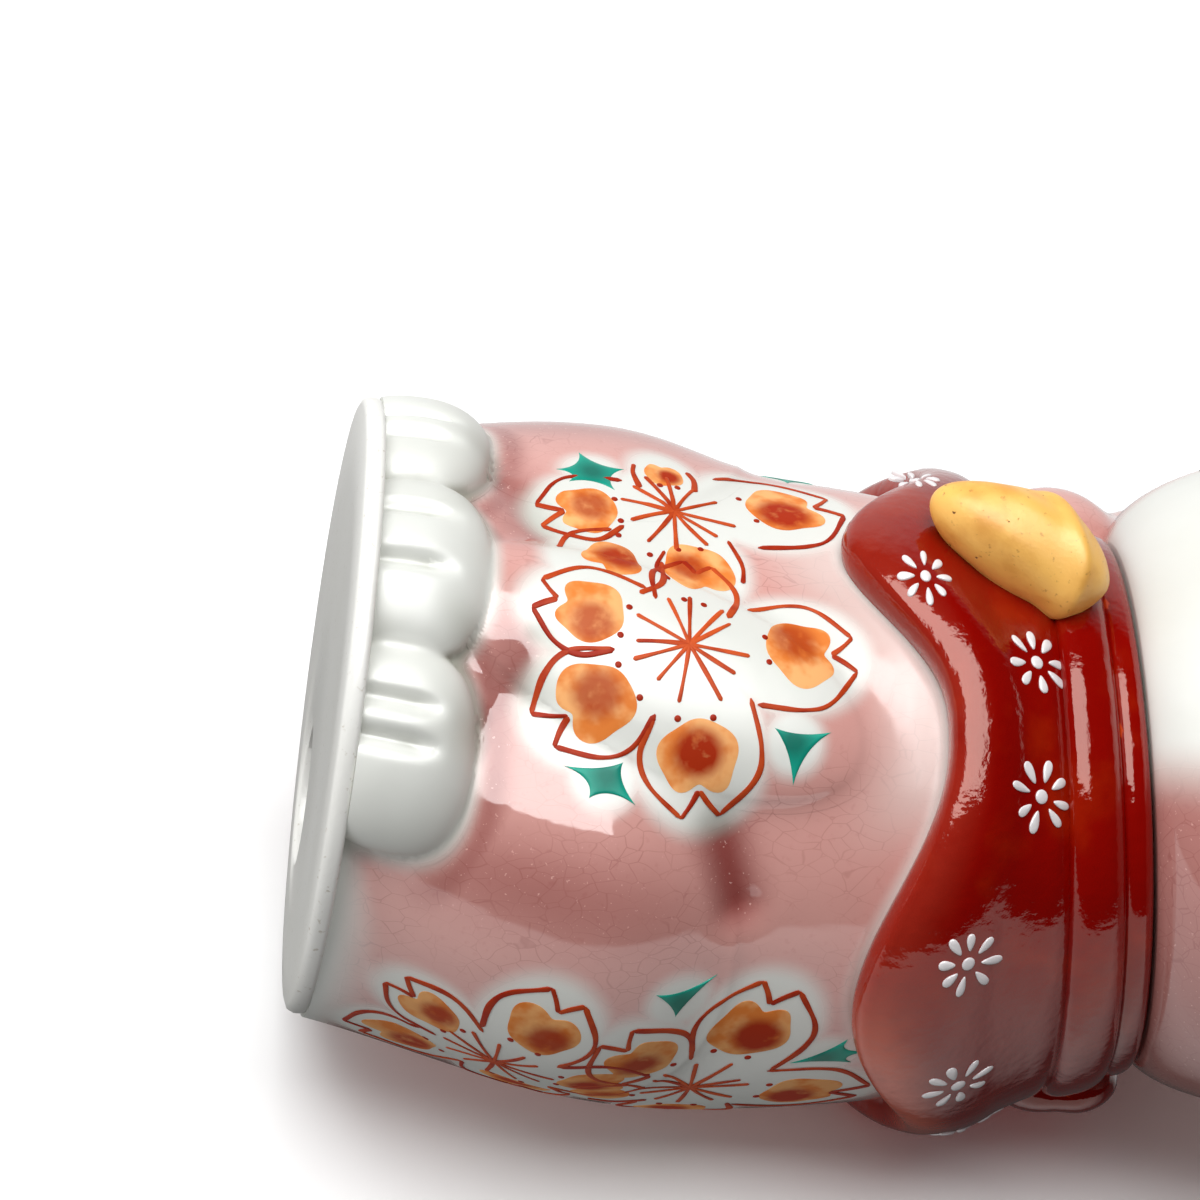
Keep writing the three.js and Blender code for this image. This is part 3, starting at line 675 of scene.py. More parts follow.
def bib_radius(angle, height):
    """Distance of the bib's face from the spine."""
    low = bib_foot(angle)
    rise = (height - low) / (COLLAR_FOOT - SLIP_JOINT - low)
    return figure_radius(angle, height) + SLIP_JOINT + BIB_THICKNESS * bib_face(rise)


def bib_rings():
    angle = all_angles(BIB_COLUMNS)
    low = bib_foot(angle)
    rises = np.linspace(BIB_FACE_RISES[0], BIB_FACE_RISES[-1], BIB_FACE_ROWS)
    face = [(rise, float(bib_face(rise))) for rise in rises]
    back = [(rise, 0) for rise in np.linspace(BIB_FACE_RISES[-1], BIB_BACK_FOOT, BIB_BACK_ROWS)]
    rings = []
    for rise, out in BIB_HEM + face + back:
        height = low + (COLLAR_FOOT - SLIP_JOINT - low) * rise
        proud = SLIP_JOINT + BIB_THICKNESS * out if out > 0 else -SLIP_BED
        rings.append(beside_figure(angle, height, proud))
    return np.array(rings)


def corners_of(piece):
    """Corners of a piece in millimetres."""
    flat = np.zeros(len(piece.data.vertices) * 3)
    piece.data.vertices.foreach_get("co", flat)
    return flat.reshape(-1, 3) / MM


def spine_place(piece):
    """Angle and height along the spine of each corner of a piece, found by trying better heights."""
    x, y, z = corners_of(piece).T
    height = z
    for _ in range(SETTLING_ROUNDS):
        sideways = x + HEAD_ASIDE * head_rise(height)
        forward = spine_lean(height) - y
        angle = np.arctan2(sideways, forward)
        reach = np.hypot(sideways, forward) * np.cos(angle - math.radians(HEAD_TURN))
        height = z + level_tilt(height) * reach
    return np.degrees(angle), height


def paint(piece, name, values):
    """Lays a value on each corner of a piece, for its finish to read."""
    layer = piece.data.attributes.new(name, "FLOAT", "POINT")
    layer.data.foreach_set("value", np.asarray(values, np.float32))


def red_enamel_finish():
    finish = Finish("red_enamel")
    thin = finish.band(finish.noise(9, 4), 0.5, 0.74)
    deep = finish.blend(finish.noise(22), *RED_SHADES)
    edge = finish.add("ShaderNodeNewGeometry", {}).outputs["Pointiness"]
    worn = finish.math("MAXIMUM", finish.math("MULTIPLY", thin, 0.18), finish.band(edge, 0.53, 0.62))
    # Lighter salmon on the hem: thinner enamel, and a painted reflection of the table on the side lobes.
    hem_thin_and_reflection = finish.math("MULTIPLY", finish.painted("thin"), finish.band(finish.noise(6, 3), 0, 0.55))
    deep = finish.blend(worn, deep, RED_WORN)
    finish.set(Base_Color=finish.blend(hem_thin_and_reflection, deep, RED_THIN_HEM_AND_REFLECTION), Roughness=0.07, IOR=1.54)
    finish.set(Specular_Tint=RED_SHEEN)
    ripple = finish.bump(finish.noise(3.4, 2), 0.12)
    finish.set(Normal=finish.bump(finish.noise(1.1, 3), 0.05, ripple))
    return finish.material


red_enamel = red_enamel_finish()
bib = make_piece("scalloped_bib", [ring_body(bib_rings())], red_enamel)
angle, height = spine_place(bib)
# The hem's share of lighter red: thin enamel all along, and a painted reflection of the table on the side
# lobes.
hem_share = 1 - eased((height - bib_foot(angle)) / (COLLAR_FOOT - bib_foot(angle)), *HEM_RISES)
from_front = np.abs(wrapped(angle - HEAD_TURN))
on_reflecting_side = eased(from_front, *HEM_REFLECTION_STARTS) * (1 - eased(from_front, *HEM_REFLECTION_ENDS))
paint(bib, "thin", hem_share * (HEM_LEAST + (1 - HEM_LEAST) * on_reflecting_side))
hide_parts("bib")

# Collar
# Two rolls of clay round the neck, a broad band and a thin piping above it, tilted down toward the front.
# They are luted over the joint between body and head and painted in the bib's red enamel.
BAND_HEIGHT = 6.6
BAND_THICKNESS = 3.4
PIPING_HEIGHT = 3
PIPING_THICKNESS = 2.2
ROLL_OVERLAP = 0.45
COLLAR_COLUMNS = 360
ROLL_ROWS = 24
ROLL_EVENNESS = 0.8
ROLL_FULLNESS = 0.5


def roll_rings(foot, tall, thickness):
    angle = all_angles(COLLAR_COLUMNS)
    rings = []
    for turn in np.linspace(0, math.pi, ROLL_ROWS):
        rise = 0.5 - 0.5 * math.copysign(abs(math.cos(turn)) ** ROLL_EVENNESS, math.cos(turn))
        height = foot - ROLL_OVERLAP + (tall + 2 * ROLL_OVERLAP) * rise
        out = (SLIP_JOINT + SLIP_BED + thickness) * math.sin(turn) ** ROLL_FULLNESS - SLIP_BED
        rings.append(beside_figure(angle, height, out))
    return np.array(rings)


piping_foot = COLLAR_FOOT + BAND_HEIGHT + SLIP_JOINT
collar_rolls = {
    "collar_band": (COLLAR_FOOT, BAND_HEIGHT, BAND_THICKNESS),
    "collar_piping": (piping_foot, PIPING_HEIGHT, PIPING_THICKNESS),
}
for node, (foot, tall, thickness) in collar_rolls.items():
    piece = make_piece(node + "_roll", [ring_body(roll_rings(foot, tall, thickness))], red_enamel)
    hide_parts(node)

# Bell
# A jingle bell pressed in a mould and luted on the bib under the chin: a round bowl, a ridge and a cone.
# It is brushed with matt gold enamel that is worn thinner in places and leaves small pits open.
BELL_BOWL_LENGTH = 15.5
BELL_CONE_LENGTH = 8
BELL_RADIUS = 6.3
BELL_RIDGE = 0.7
BELL_RIDGE_HALF_WIDTH = 1.6
BELL_POINTEDNESS = 1.66
BELL_BELOW_COLLAR = 0.8
BELL_BEYOND_BIB = 1.2
BELL_TILT = -15
BELL_TURN = -8
BELL_SKEW = 0.48
BELL_NUB = 0.8
# Each set of dents: its depth, how many go round, and how far up the bell they wind in a radian.
BELL_DENTS = [(0.2, 2, 3), (0.12, 5, -2)]
BELL_COLUMNS = 120
BELL_ROWS = 110
GOLD_SHADES = [colour(246, 189, 94), colour(226, 161, 71)]
GOLD_SPECK = colour(168, 108, 44)
GOLD_PIT = colour(120, 72, 30)


def bell_rings():
    bearing = full_turn(BELL_COLUMNS)
    ridge_height = COLLAR_FOOT - BELL_BELOW_COLLAR
    girth = figure_radius(HEAD_TURN, ridge_height) + SLIP_JOINT + BIB_THICKNESS + BELL_BEYOND_BIB
    centre = around_spine(HEAD_TURN, ridge_height, girth)
    hinge = around_spine(HEAD_TURN + 90, 0, 1) - around_spine(0, 0, 0)
    front = around_spine(HEAD_TURN, 0, 1) - around_spine(0, 0, 0)
    lean = Matrix.Rotation(math.radians(BELL_TILT), 3, hinge.tolist())
    spin = np.array(Matrix.Rotation(math.radians(BELL_TURN), 3, front.tolist()) @ lean)
    rings = []
    for turn in np.linspace(-math.pi / 2, math.pi / 2, BELL_ROWS + 2)[1:-1]:
        height = (BELL_BOWL_LENGTH if turn < 0 else BELL_CONE_LENGTH) * math.sin(turn)
        round_share = math.cos(turn) ** (1 if turn < 0 else BELL_POINTEDNESS)
        ridge = BELL_RIDGE * math.exp(-((height / BELL_RIDGE_HALF_WIDTH) ** 2))
        nub = BELL_NUB * math.exp(-((BELL_CONE_LENGTH - height) ** 2)) * math.cos(turn)
        dents = sum(depth * np.cos(count * bearing + height / wind) for depth, count, wind in BELL_DENTS)
        reach = BELL_RADIUS * round_share + ridge + nub + dents * math.cos(turn) ** 2
        flat = [np.cos(bearing) * reach, np.sin(bearing) * reach]
        ring = np.stack([*flat, np.full(BELL_COLUMNS, height)], -1)
        ring[:, 2] += BELL_SKEW * (ring @ hinge)
        rings.append(ring @ spin.T + centre)
    return np.array(rings)


def gold_enamel_finish():
    finish = Finish("gold_enamel")
    worn = finish.band(finish.noise(5, 5), 0.42, 0.72)
    gold = finish.blend(worn, *GOLD_SHADES)
    speck = finish.band(finish.noise(0.8, 4), 0.64, 0.72)
    gold = finish.blend(finish.math("MULTIPLY", speck, 0.5), gold, GOLD_SPECK)
    pit = finish.band(finish.noise(1.3, 2), 0.71, 0.75)
    finish.set(Base_Color=finish.blend(pit, gold, GOLD_PIT), Roughness=0.42)
    grain = finish.bump(finish.noise(0.5, 4), 0.03)
    finish.set(Normal=finish.bump(pit, -0.1, grain))
    return finish.material


bell = make_piece("jingle_bell", [stack_body(bell_rings())], gold_enamel_finish())
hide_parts("bell")

# Bow
# A ribbon bow of clay behind the neck: a pinched knot between two full loops, luted over the collar band.
# Each loop is gathered at the knot, with a fold pressed down its middle, and carries the bib's red enamel.
BOW_RISE = 2.4
BOW_HEIGHT = COLLAR_FOOT + BOW_RISE
BOW_ANGLE = HEAD_TURN + 180
KNOT_HALF_SIZES = (6, 6.6, 5.4)
LOOP_HALF_SIZES = (11, 8.4, 4.6)
LOOP_OUTWARD = 14
LOOP_GATHER = 0.4
LOOP_FOLD_DEPTH = 1.6
LOOP_FOLD_HALF_WIDTH = 2.2
GATHER_STARTS = 0.2
BOW_FULLNESS = 0.7
BOW_END_TILT = 88
BOW_COLUMNS = 96
BOW_ROWS = 64

bow_reach = float(figure_radius(BOW_ANGLE, BOW_HEIGHT)) + SLIP_JOINT + BAND_THICKNESS


def bow_rings(outward, half_sizes, gathered, side):
    """Rings of a bow's lump along the collar, from its end at the knot, where a share of it is gathered."""
    half_width, half_height, half_depth = half_sizes
    bearing = full_turn(BOW_COLUMNS)
    rings = []
    for turn in np.radians(np.linspace(-BOW_END_TILT, BOW_END_TILT, BOW_ROWS)):
        along = math.sin(turn)
        girth = math.cos(turn) ** BOW_FULLNESS
        pinch = 1 - gathered * eased(-along, -GATHER_STARTS, 1)
        up = half_height * girth * pinch * np.cos(bearing)
        out = half_depth * girth * np.sin(bearing)
        fold = LOOP_FOLD_DEPTH * gathered * girth * np.exp(-((up / LOOP_FOLD_HALF_WIDTH) ** 2))
        out = out - np.where(np.sin(bearing) > 0, fold * np.sin(bearing), 0)
        angle = BOW_ANGLE + side * np.degrees((outward + half_width * along) / bow_reach)
        rings.append(around_spine(angle, BOW_HEIGHT + up, bow_reach + out))
    return np.array(rings)


bow_lumps = {
    "bow_knot": (0, KNOT_HALF_SIZES, 0, 1),
    "left_bow_loop": (LOOP_OUTWARD, LOOP_HALF_SIZES, LOOP_GATHER, -1),
    "right_bow_loop": (LOOP_OUTWARD, LOOP_HALF_SIZES, LOOP_GATHER, 1),
}
for node, lump in bow_lumps.items():
    piece = make_piece(node + "_fold", [stack_body(bow_rings(*lump))], red_enamel)
    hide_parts(node)

# Glaze
# A clear white glaze covers the fired clay, with pink airbrushed on all but the paws, face and flowers.
# It is glassy, pools darker in the hollows, is painted darker as shade in creases, valleys and over the
# collar, and has a fine net of crackle in the pink.
WHITE_SHADES = [colour(217, 218, 211), colour(227, 229, 224)]
# Grey of glaze pooling and painted shade on the white.
WHITE_POOL_SHADE = colour(172, 174, 162)
WHITE_ROUGHNESS = 0.4
PINK_SHADES = [colour(206, 149, 141), colour(217, 163, 155)]
PINK_SPECK = colour(176, 104, 102)
PINK_CRACK = colour(150, 84, 78)
# Dark red of glaze pooling and painted shade on the pink.
PINK_POOL_SHADE = colour(122, 34, 30)
PINK_DUST = colour(206, 160, 152)
PINK_ROUGHNESS = 0.05
ROUGE = colour(176, 52, 34)
CRACKLE_CELL = 1.8
CRACKLE_DRIFT = 3
CRACKLE_TURN = (0.3, 0.5, 0.2)
CRACKLE_STRETCH = (1, 1, 0.6)

# Where the pink starts on the head: beside the white face, which widens upward, and on the crown.
FACE_HALF_ANGLE = 50
FACE_EDGE = (-7, 9)
FACE_WIDENING = 0.5
CHEEK_BELOW = 10
CROWN_PINK = (HEAD_CENTRE + 23, HEAD_CENTRE + 34)
# Where it starts on the body: above the foot, higher on the flanks, beside the paws and below the bib.
# On the breast, just below the bib, it is paler.
FOOT_WHITE = 2.4
FOOT_PINK = 4.4
FLANK_ANGLES = (46, 72)
FLANK_WHITE = 5
PAW_EDGE = (0.96, 1.22)
BIB_EDGE = (-1.2, 2)
BREAST_DROPS = (1, 15)
BREAST_ANGLES = (26, 44)
BREAST_PALING = 0.5
# The white that it leaves round each petal, an oval in shares of the petal's reach, and round each leaf.
PETAL_MIDDLE = 0.6
PETAL_HALF_LENGTH = 0.46
PETAL_HALF_WIDTH = 0.37
BLOSSOM_HEART = 8
LEAF_ROOM = 3.2
HALO = (-0.6, 2.4)
FAR_OFF = 99.0
# Where the glaze pools and shade is painted: in hollows of the skin, creases, round the hind paws, and over
# the collar.
POOL_SHADE_STEP = 2.8
POOL_SHADE_DEPTHS = (0.15, 1.4)
CREASE_POOL_SHADE = 0.7
CREASE_POOL_SHADE_MOST = 0.85
CREASE_POOL_SHADE_WIDTH = 1.2
PAW_POOL_SHADE = 0.55
PAW_POOL_SHADE_SPREAD = 1.28
PAW_POOL_SHADE_HALF_WIDTH = 0.2
PAW_POOL_SHADE_HEIGHTS = (7, 16)
COLLAR_POOL_SHADE = 0.45
COLLAR_POOL_SHADE_HEIGHTS = (NECK_HEIGHT + 4, NECK_HEIGHT + 20)
# Each broad patch of painted shade and glaze pooling: its angle and height, its half width in degrees, its
# half height and its share of colour.
BROAD_POOL_SHADES = [(50, 25, 8, 19, 0.5), (14, 20, 7, 6, 0.45), (-50, 25, 8, 19, 0.5), (-14, 20, 7, 6, 0.45)]
# The red in the ears: its share of the ear's half width, its soft edge and its height.
ROUGE_WIDTH = 0.72
ROUGE_LEAST = 0.1
ROUGE_EDGE = (0.7, 1)
ROUGE_TOP = (15, 19)

# Each blossom: angle and height, then each petal's bearing, from up toward the cat's left, and reach.
BLOSSOMS = [
    (9.5, 39.4, [(-8, 22.4), (80, 20.6), (141, 20.5), (193, 18.6), (276, 15)]),
    (-22.2, 38.5, [(-20, 24), (76, 16), (126, 21), (169, 17), (262, 11)]),
    (91, 24.7, [(-2, 19), (70, 19.5), (147, 20), (215, 16.6), (288, 19.2)]),
    (94, 49.4, [(12, 21), (90, 19), (160, 17), (231, 19), (289, 21.8)]),
    (-96, 26, [(5, 19.5), (76, 19), (146, 20), (219, 18), (290, 19.5)]),
    (-100, 51, [(-10, 20), (64, 20), (136, 18), (212, 18), (282, 20)]),
]
# Each leaf: angle, height, and the bearing and reach of its points.
LEAVES = [
    (22.5, 53.1, [(-152, 3.1), (-18, 5.2), (84, 5)]),
    (31.2, 31.3, [(-178, 5), (-46, 2.6), (36, 4.6), (122, 3.4)]),
    (-29.5, 28.4, [(180, 4.4), (-108, 4.6), (-20, 4.3), (50, 4.2), (140, 3.8)]),
    (66.2, 44.1, [(-152, 3.6), (-42, 5.4), (92, 2.2)]),
    (83.5, 63.5, [(164, 3.6), (-54, 4.2), (-8, 5.2), (24, 4)]),
    (-53, 55.9, [(-140, 4.2), (-20, 4.6), (95, 4.4)]),
    (-70, 40, [(-150, 4.2), (-28, 4.8), (88, 4)]),
    (-118, 38, [(170, 4.4), (60, 4.4), (-60, 4)]),
]


def flat_place(angle, height, middle_angle, middle_height):
    """Millimetres across and up from a place on the skin, as in a drawing laid round it."""
    girth = float(skin_radius(middle_angle, middle_height))
    return np.radians(wrapped(angle - middle_angle)) * girth, height - middle_height


def from_blossoms(angle, height):
    """Rough distance in millimetres of a place from the nearest painted petal or leaf."""
    nearest = np.full(np.shape(angle), FAR_OFF)
    for middle_angle, middle_height, petals in BLOSSOMS:
        across, up = flat_place(angle, height, middle_angle, middle_height)
        nearest = np.minimum(nearest, np.hypot(across, up) - BLOSSOM_HEART)
        for bearing, reach in petals:
            turn = math.radians(bearing)
            along = (up * math.cos(turn) + across * math.sin(turn)) / reach - PETAL_MIDDLE
            beside = (across * math.cos(turn) - up * math.sin(turn)) / reach
            far = np.hypot(along / PETAL_HALF_LENGTH, beside / PETAL_HALF_WIDTH)
            nearest = np.minimum(nearest, (far - 1) * PETAL_HALF_WIDTH * reach)
    for middle_angle, middle_height, _ in LEAVES:
        across, up = flat_place(angle, height, middle_angle, middle_height)
        nearest = np.minimum(nearest, np.hypot(across, up) - LEAF_ROOM)
    return nearest


def pink_share(angle, height):
    """Share of pink over the white glaze on the body."""
    from_front = np.abs(wrapped(angle))
    on_flank = eased(from_front, *FLANK_ANGLES)
    pink = eased(height, FOOT_WHITE, FOOT_PINK + FLANK_WHITE * on_flank)
    for spot in SPRIGS.values():
        if spot["grooves"]:
            pink = pink * eased(spread_on(spot, angle, height)[0], *PAW_EDGE)
    to_bib = bib_foot(angle) - height
    on_breast = (1 - eased(to_bib, *BREAST_DROPS)) * (1 - eased(from_front, *BREAST_ANGLES))
    pink = pink * eased(to_bib, *BIB_EDGE) * (1 - BREAST_PALING * on_breast)
    return pink * eased(from_blossoms(angle, height), *HALO)


def pool_shade_share(angle, height):
    """Share of glaze pooling and painted shade: in hollows of the body, creases, broad patches and round
    the hind paws.
    """
    step = np.degrees(POOL_SHADE_STEP / torso_radius(height))
    beside = skin_radius(angle + step, height) + skin_radius(angle - step, height)
    above = skin_radius(angle, height + POOL_SHADE_STEP) + skin_radius(angle, height - POOL_SHADE_STEP)
    hollow = eased((beside + above) / 4 - skin_radius(angle, height), *POOL_SHADE_DEPTHS)
    # Painted shade and glaze pooling along the creases.
    for start, finish, depth, half_width in CREASES:
        near = crease_share(angle, height, start, finish, CREASE_POOL_SHADE_WIDTH * half_width)
        hollow = np.maximum(hollow, min(CREASE_POOL_SHADE * depth, CREASE_POOL_SHADE_MOST) * near)
    # Broad patches of painted shade and glaze pooling, near the haunches and either side of the forepaw.
    for middle_angle, middle_height, broad, tall, share in BROAD_POOL_SHADES:
        across = wrapped(angle - middle_angle) / broad
        up = (height - middle_height) / tall
        hollow = np.maximum(hollow, share * np.exp(-(across**2) - up**2))
    # Painted shade and glaze pooling in a band round the hind paws.
    for node in ("left_hind_paw", "right_hind_paw"):
        beyond = (spread_on(SPRIGS[node], angle, height)[0] - PAW_POOL_SHADE_SPREAD) / PAW_POOL_SHADE_HALF_WIDTH
        by_paw = PAW_POOL_SHADE * np.exp(-(beyond**2)) * eased(height, *PAW_POOL_SHADE_HEIGHTS)
        hollow = np.maximum(hollow, by_paw)
    return hollow


def rouge_share(piece, side):
    """Share of red on the hollow front of an ear."""
    spin, root = ear_seat(side)
    x, y, z = ((corners_of(piece) - root) @ spin).T
    room = np.clip(1 - z / EAR_HALF_SIZES[2], 0, 1)
    across = np.abs(x) / (EAR_HALF_SIZES[0] * ROUGE_WIDTH * room + ROUGE_LEAST)
    return np.where(y < 0, 1 - eased(across, *ROUGE_EDGE), 0) * (1 - eased(z, *ROUGE_TOP))


def glaze_finish():
    finish = Finish("glaze")
    pink = finish.blend(finish.noise(16), *PINK_SHADES)
    speck = finish.band(finish.noise(1.1, 5), 0.58, 0.75)
    pink = finish.blend(finish.math("MULTIPLY", speck, 0.18), pink, PINK_SPECK)
    drift = {0: finish.noise(7, 2, output="Color"), 1: [CRACKLE_DRIFT * MM] * 3}
    drift = finish.add("ShaderNodeVectorMath", drift, operation="MULTIPLY").outputs[0]
    bent = finish.add("ShaderNodeVectorMath", {0: drift, 1: finish.place}, operation="ADD").outputs[0]
    stretch = {"Vector": bent, "Rotation": CRACKLE_TURN, "Scale": CRACKLE_STRETCH}
    stretched = finish.add("ShaderNodeMapping", stretch).outputs[0]
    cells = {"Vector": stretched, "Scale": 1 / (CRACKLE_CELL * MM)}
    net = finish.add("ShaderNodeTexVoronoi", cells, feature="DISTANCE_TO_EDGE").outputs["Distance"]
    patch = finish.band(finish.noise(12, 2), 0.3, 0.65)
    crack = finish.math("MULTIPLY", finish.band(net, 0.035, 0), patch)
    pink = finish.blend(finish.math("MULTIPLY", crack, 0.36), pink, PINK_CRACK)
    # Glaze pooling and painted shade darken the pink, with light specks of dust in it, and grey the white.
    dust = finish.band(finish.noise(0.45, 2), 0.68, 0.72)
    pink = finish.blend(finish.painted("deepened"), pink, finish.blend(dust, PINK_POOL_SHADE, PINK_DUST))
    white = finish.blend(finish.noise(11), *WHITE_SHADES)
    white = finish.blend(finish.painted("deepened"), white, WHITE_POOL_SHADE)
    body = finish.blend(finish.painted("pink"), white, pink)
    finish.set(Base_Color=finish.blend(finish.painted("rouge"), body, ROUGE))
    satin = {"Value": finish.painted("pink"), "To Min": WHITE_ROUGHNESS, "To Max": PINK_ROUGHNESS}
    finish.set(Roughness=finish.add("ShaderNodeMapRange", satin).outputs["Result"], IOR=1.62)
    finish.set(Normal=finish.bump(finish.noise(6, 2), 0.08))
    return finish.material


def casting_paint(angle, height):
    """Shares of pink, and of glaze pooling with painted shade, on the torso, the head and what is luted to
    them.
    """
    on_head = height > NECK_HEIGHT
    above_cheeks = height - (HEAD_CENTRE - CHEEK_BELOW)
    past_face = np.abs(wrapped(angle - HEAD_TURN)) - FACE_HALF_ANGLE - FACE_WIDENING * above_cheeks
    head_pink = np.maximum(eased(past_face, *FACE_EDGE), eased(height, *CROWN_PINK))
    pink = np.where(on_head, head_pink, pink_share(angle, height))
    # Painted shade and glaze pooling on the pink of the head just above the collar.
    by_collar = COLLAR_POOL_SHADE * (pink - eased(height, *COLLAR_POOL_SHADE_HEIGHTS)).clip(0)
    return pink, np.where(on_head, by_collar, pool_shade_share(angle, height))


glaze = glaze_finish()
for piece in glazed_pieces:
    angle, height = spine_place(piece)
    # The deepened share is glaze pooling and painted shade in hollows, creases and round the paws.
    pink, deepened = casting_paint(angle, height)
    rouge = np.zeros(len(angle))
    if piece in (raised_arm, raised_paw):
        pink = np.full(len(angle), float(piece is raised_arm))
        deepened = np.zeros(len(angle))
    if piece.name in ears:
        rouge = rouge_share(piece, ears[piece.name])
    paint(piece, "pink", pink)
    paint(piece, "deepened", deepened)
    paint(piece, "rouge", rouge)
    piece.data.materials[0] = glaze

# Painted blossoms
# Cherry blossoms brushed over the fired glaze and fired again: red-brown outlines, stamens and dots.
# The lines stand a little proud, and each petal has an orange wash with a darker core.
PAINT_THICKNESS = 0.07
PAINT_CLEAR = 0.09
PAINT_BED = -0.25
OUTLINE_WIDTH = 0.66
OUTLINE_INKS = (0.25, 0.9)
STAMEN_WIDTH = 0.52
STAMEN_COUNT = 12
STAMEN_LENGTH = 7
STAMEN_INKS = (0, 0.5)
DOT_INK = 0.9
DOT_RADIUS = 0.4
DOT_THICKNESS = 0.12
DOT_SWING = 13
DOT_COLUMNS = 20
STROKE_ROWS = 30
WASH_COLUMNS = 72
WASH_THICKNESS = 0.045
WASH_RINGS = [0.03, 0.2, 0.4, 0.6, 0.75, 0.87, 0.95, 1]
WASH_BED_RINGS = [1, 0.5, 0.03]
# A stroke's section: shares of its half width from edge to edge, and of its thickness above the glaze.
BRUSH_PROFILE = [(-1, -0.6), (-0.95, 0.35), (-0.6, 0.8), (0, 1)]
BRUSH_PROFILE += [(0.6, 0.8), (0.95, 0.35), (1, -0.6), (0, -3)]
BRUSH_END_ROUND = 0.97
# How unevenly the hand presses along a stroke: share of the width, and millimetres to a radian.
SLOW_PRESS = (0.16, 2.3)
QUICK_PRESS = (0.08, 1 / 1.3)
# A petal's sizes, in shares of its reach, and the widest turn and the usual turn from it to a junction.
PETAL_JUNCTION = 0.46
PETAL_FULLEST = 0.62
PETAL_SHOULDER = 0.8
PETAL_MOST_TURN = 44
PETAL_TURN = 36
PETAL_BREADTH = 0.345
PETAL_TIP = 0.115
NOTCH_FLOOR = (0.8, 0.88)
DOT_PLACE = 0.44
WASH_PLACE = 0.665
WASH_RADIUS = 0.225
WASH_DENT = 0.42
WASH_DENT_ANGLE = 26
WASH_STRETCH = 1.05
CORE_PLACE = 0.62
CORE_EDGE = (0.08, 0.19)
# Petals that lie under others, by blossom and bearing, whose tips are left out.
COVERED_PETALS = [(1, 76), (1, 126), (1, 262), (3, 160)]
# Washes that are larger or smaller than their petal asks for; one is left out.
WASH_SIZES = {(0, 276): 0, (1, 76): 1.2, (1, 126): 0.75}
BRUSH_REDS = [colour(206, 86, 36), colour(154, 34, 6)]
ORANGE_SHADES = [colour(244, 178, 114), colour(226, 128, 56)]
ORANGE_CORE = colour(166, 44, 8)

hand = np.random.default_rng(7)


def on_surface(radius_at, middle_angle, middle_height):
    """Function that lays a flat drawing, in millimetres about its middle, on a surface round the spine."""
    girth = float(radius_at(middle_angle, middle_height))

    def lay(across, up, lift):
        angle = middle_angle + np.degrees(across / girth)
        height = middle_height + up
        return around_spine(angle, height, radius_at(angle, height) + lift)

    return lay


def brush_stroke(lay, places, width):
    """Closed body of a brush stroke through places of a drawing: domed, with round tapering ends."""
    path = smooth_path(places, STROKE_ROWS)
    along = np.gradient(path, axis=0)
    along /= np.linalg.norm(along, axis=1)[:, None]
    run = run_along(path)
    near_end = np.minimum(run, run[-1] - run) / (0.5 * width)
    taper = np.sqrt(1 - np.clip(1 - near_end, 0, BRUSH_END_ROUND) ** 2)
    press = np.ones(len(run))
    for share, length in (SLOW_PRESS, QUICK_PRESS):
        press = press + share * np.sin(run / length + hand.uniform(0, 6))
    half = (0.5 * width * taper * press)[:, None]
    offset, rise = np.array(BRUSH_PROFILE).T
    across = path[:, :1] - along[:, 1:] * half * offset
    up = path[:, 1:] + along[:, :1] * half * offset
    return stack_body(lay(across, up, PAINT_CLEAR + PAINT_THICKNESS * taper[:, None] * rise))


def wash(lay, outline, thickness, rounded=0):
    """Closed body of a wash inside an outline: flat with a thin edge, or domed where rounded is set."""
    middle = outline.mean(0)
    rings = []
    for share in WASH_RINGS:
        place = middle + (outline - middle) * share
        dome = (1 - share**2) ** 0.5 if rounded else 1 - share**8
        rings.append(lay(place[:, 0], place[:, 1], 0.6 * PAINT_CLEAR + thickness * dome))
    for share in WASH_BED_RINGS:
        place = middle + (outline - middle) * share
        rings.append(lay(place[:, 0], place[:, 1], PAINT_BED))
    return stack_body(np.array(rings))


def dot(lay, across, up, radius, thickness):
    """Round dot of paint at a place of a drawing."""
    turn = full_turn(DOT_COLUMNS)
    outline = np.stack([across + radius * np.cos(turn), up + radius * np.sin(turn)], -1)
    return wash(lay, outline, thickness, rounded=1)


def turned(bearing, along, beside):
    """Place in a drawing so far along a bearing and beside it."""
    turn = math.radians(bearing)
    across = along * math.sin(turn) + beside * math.cos(turn)
    up = along * math.cos(turn) - beside * math.sin(turn)
    return across, up


def petal_outline(bearing, reach, before, after, covered):
    """Strokes round a petal: its sides from the junctions with its neighbours, and the notch in its end."""
    tip = PETAL_TIP * reach
    deep = hand.uniform(*NOTCH_FLOOR)
    strokes = []
    for neighbour, hand_side in ((before, -1), (after, 1)):
        half_turn = math.radians(min(PETAL_MOST_TURN, abs(neighbour - bearing) / 2))
        broad = PETAL_BREADTH * reach * (0.75 + 0.25 * half_turn / math.radians(PETAL_TURN))
        inner = PETAL_JUNCTION * reach + hand.uniform(-0.5, 0.5)
        stops = [
            (inner * math.cos(half_turn), inner * math.sin(half_turn)),
            (PETAL_FULLEST * reach, broad),
            (PETAL_SHOULDER * reach, 0.88 * broad),
            (reach, tip),
        ]
        if covered:
            stops = stops[:3]
        strokes.append([turned(bearing, along, hand_side * beside) for along, beside in stops])
        if not covered:
            notch = [(reach, tip), ((1 + deep) / 2 * reach, 0.45 * tip), (deep * reach, 0.02 * tip)]
            strokes.append([turned(bearing, along, hand_side * beside) for along, beside in notch])
    return strokes


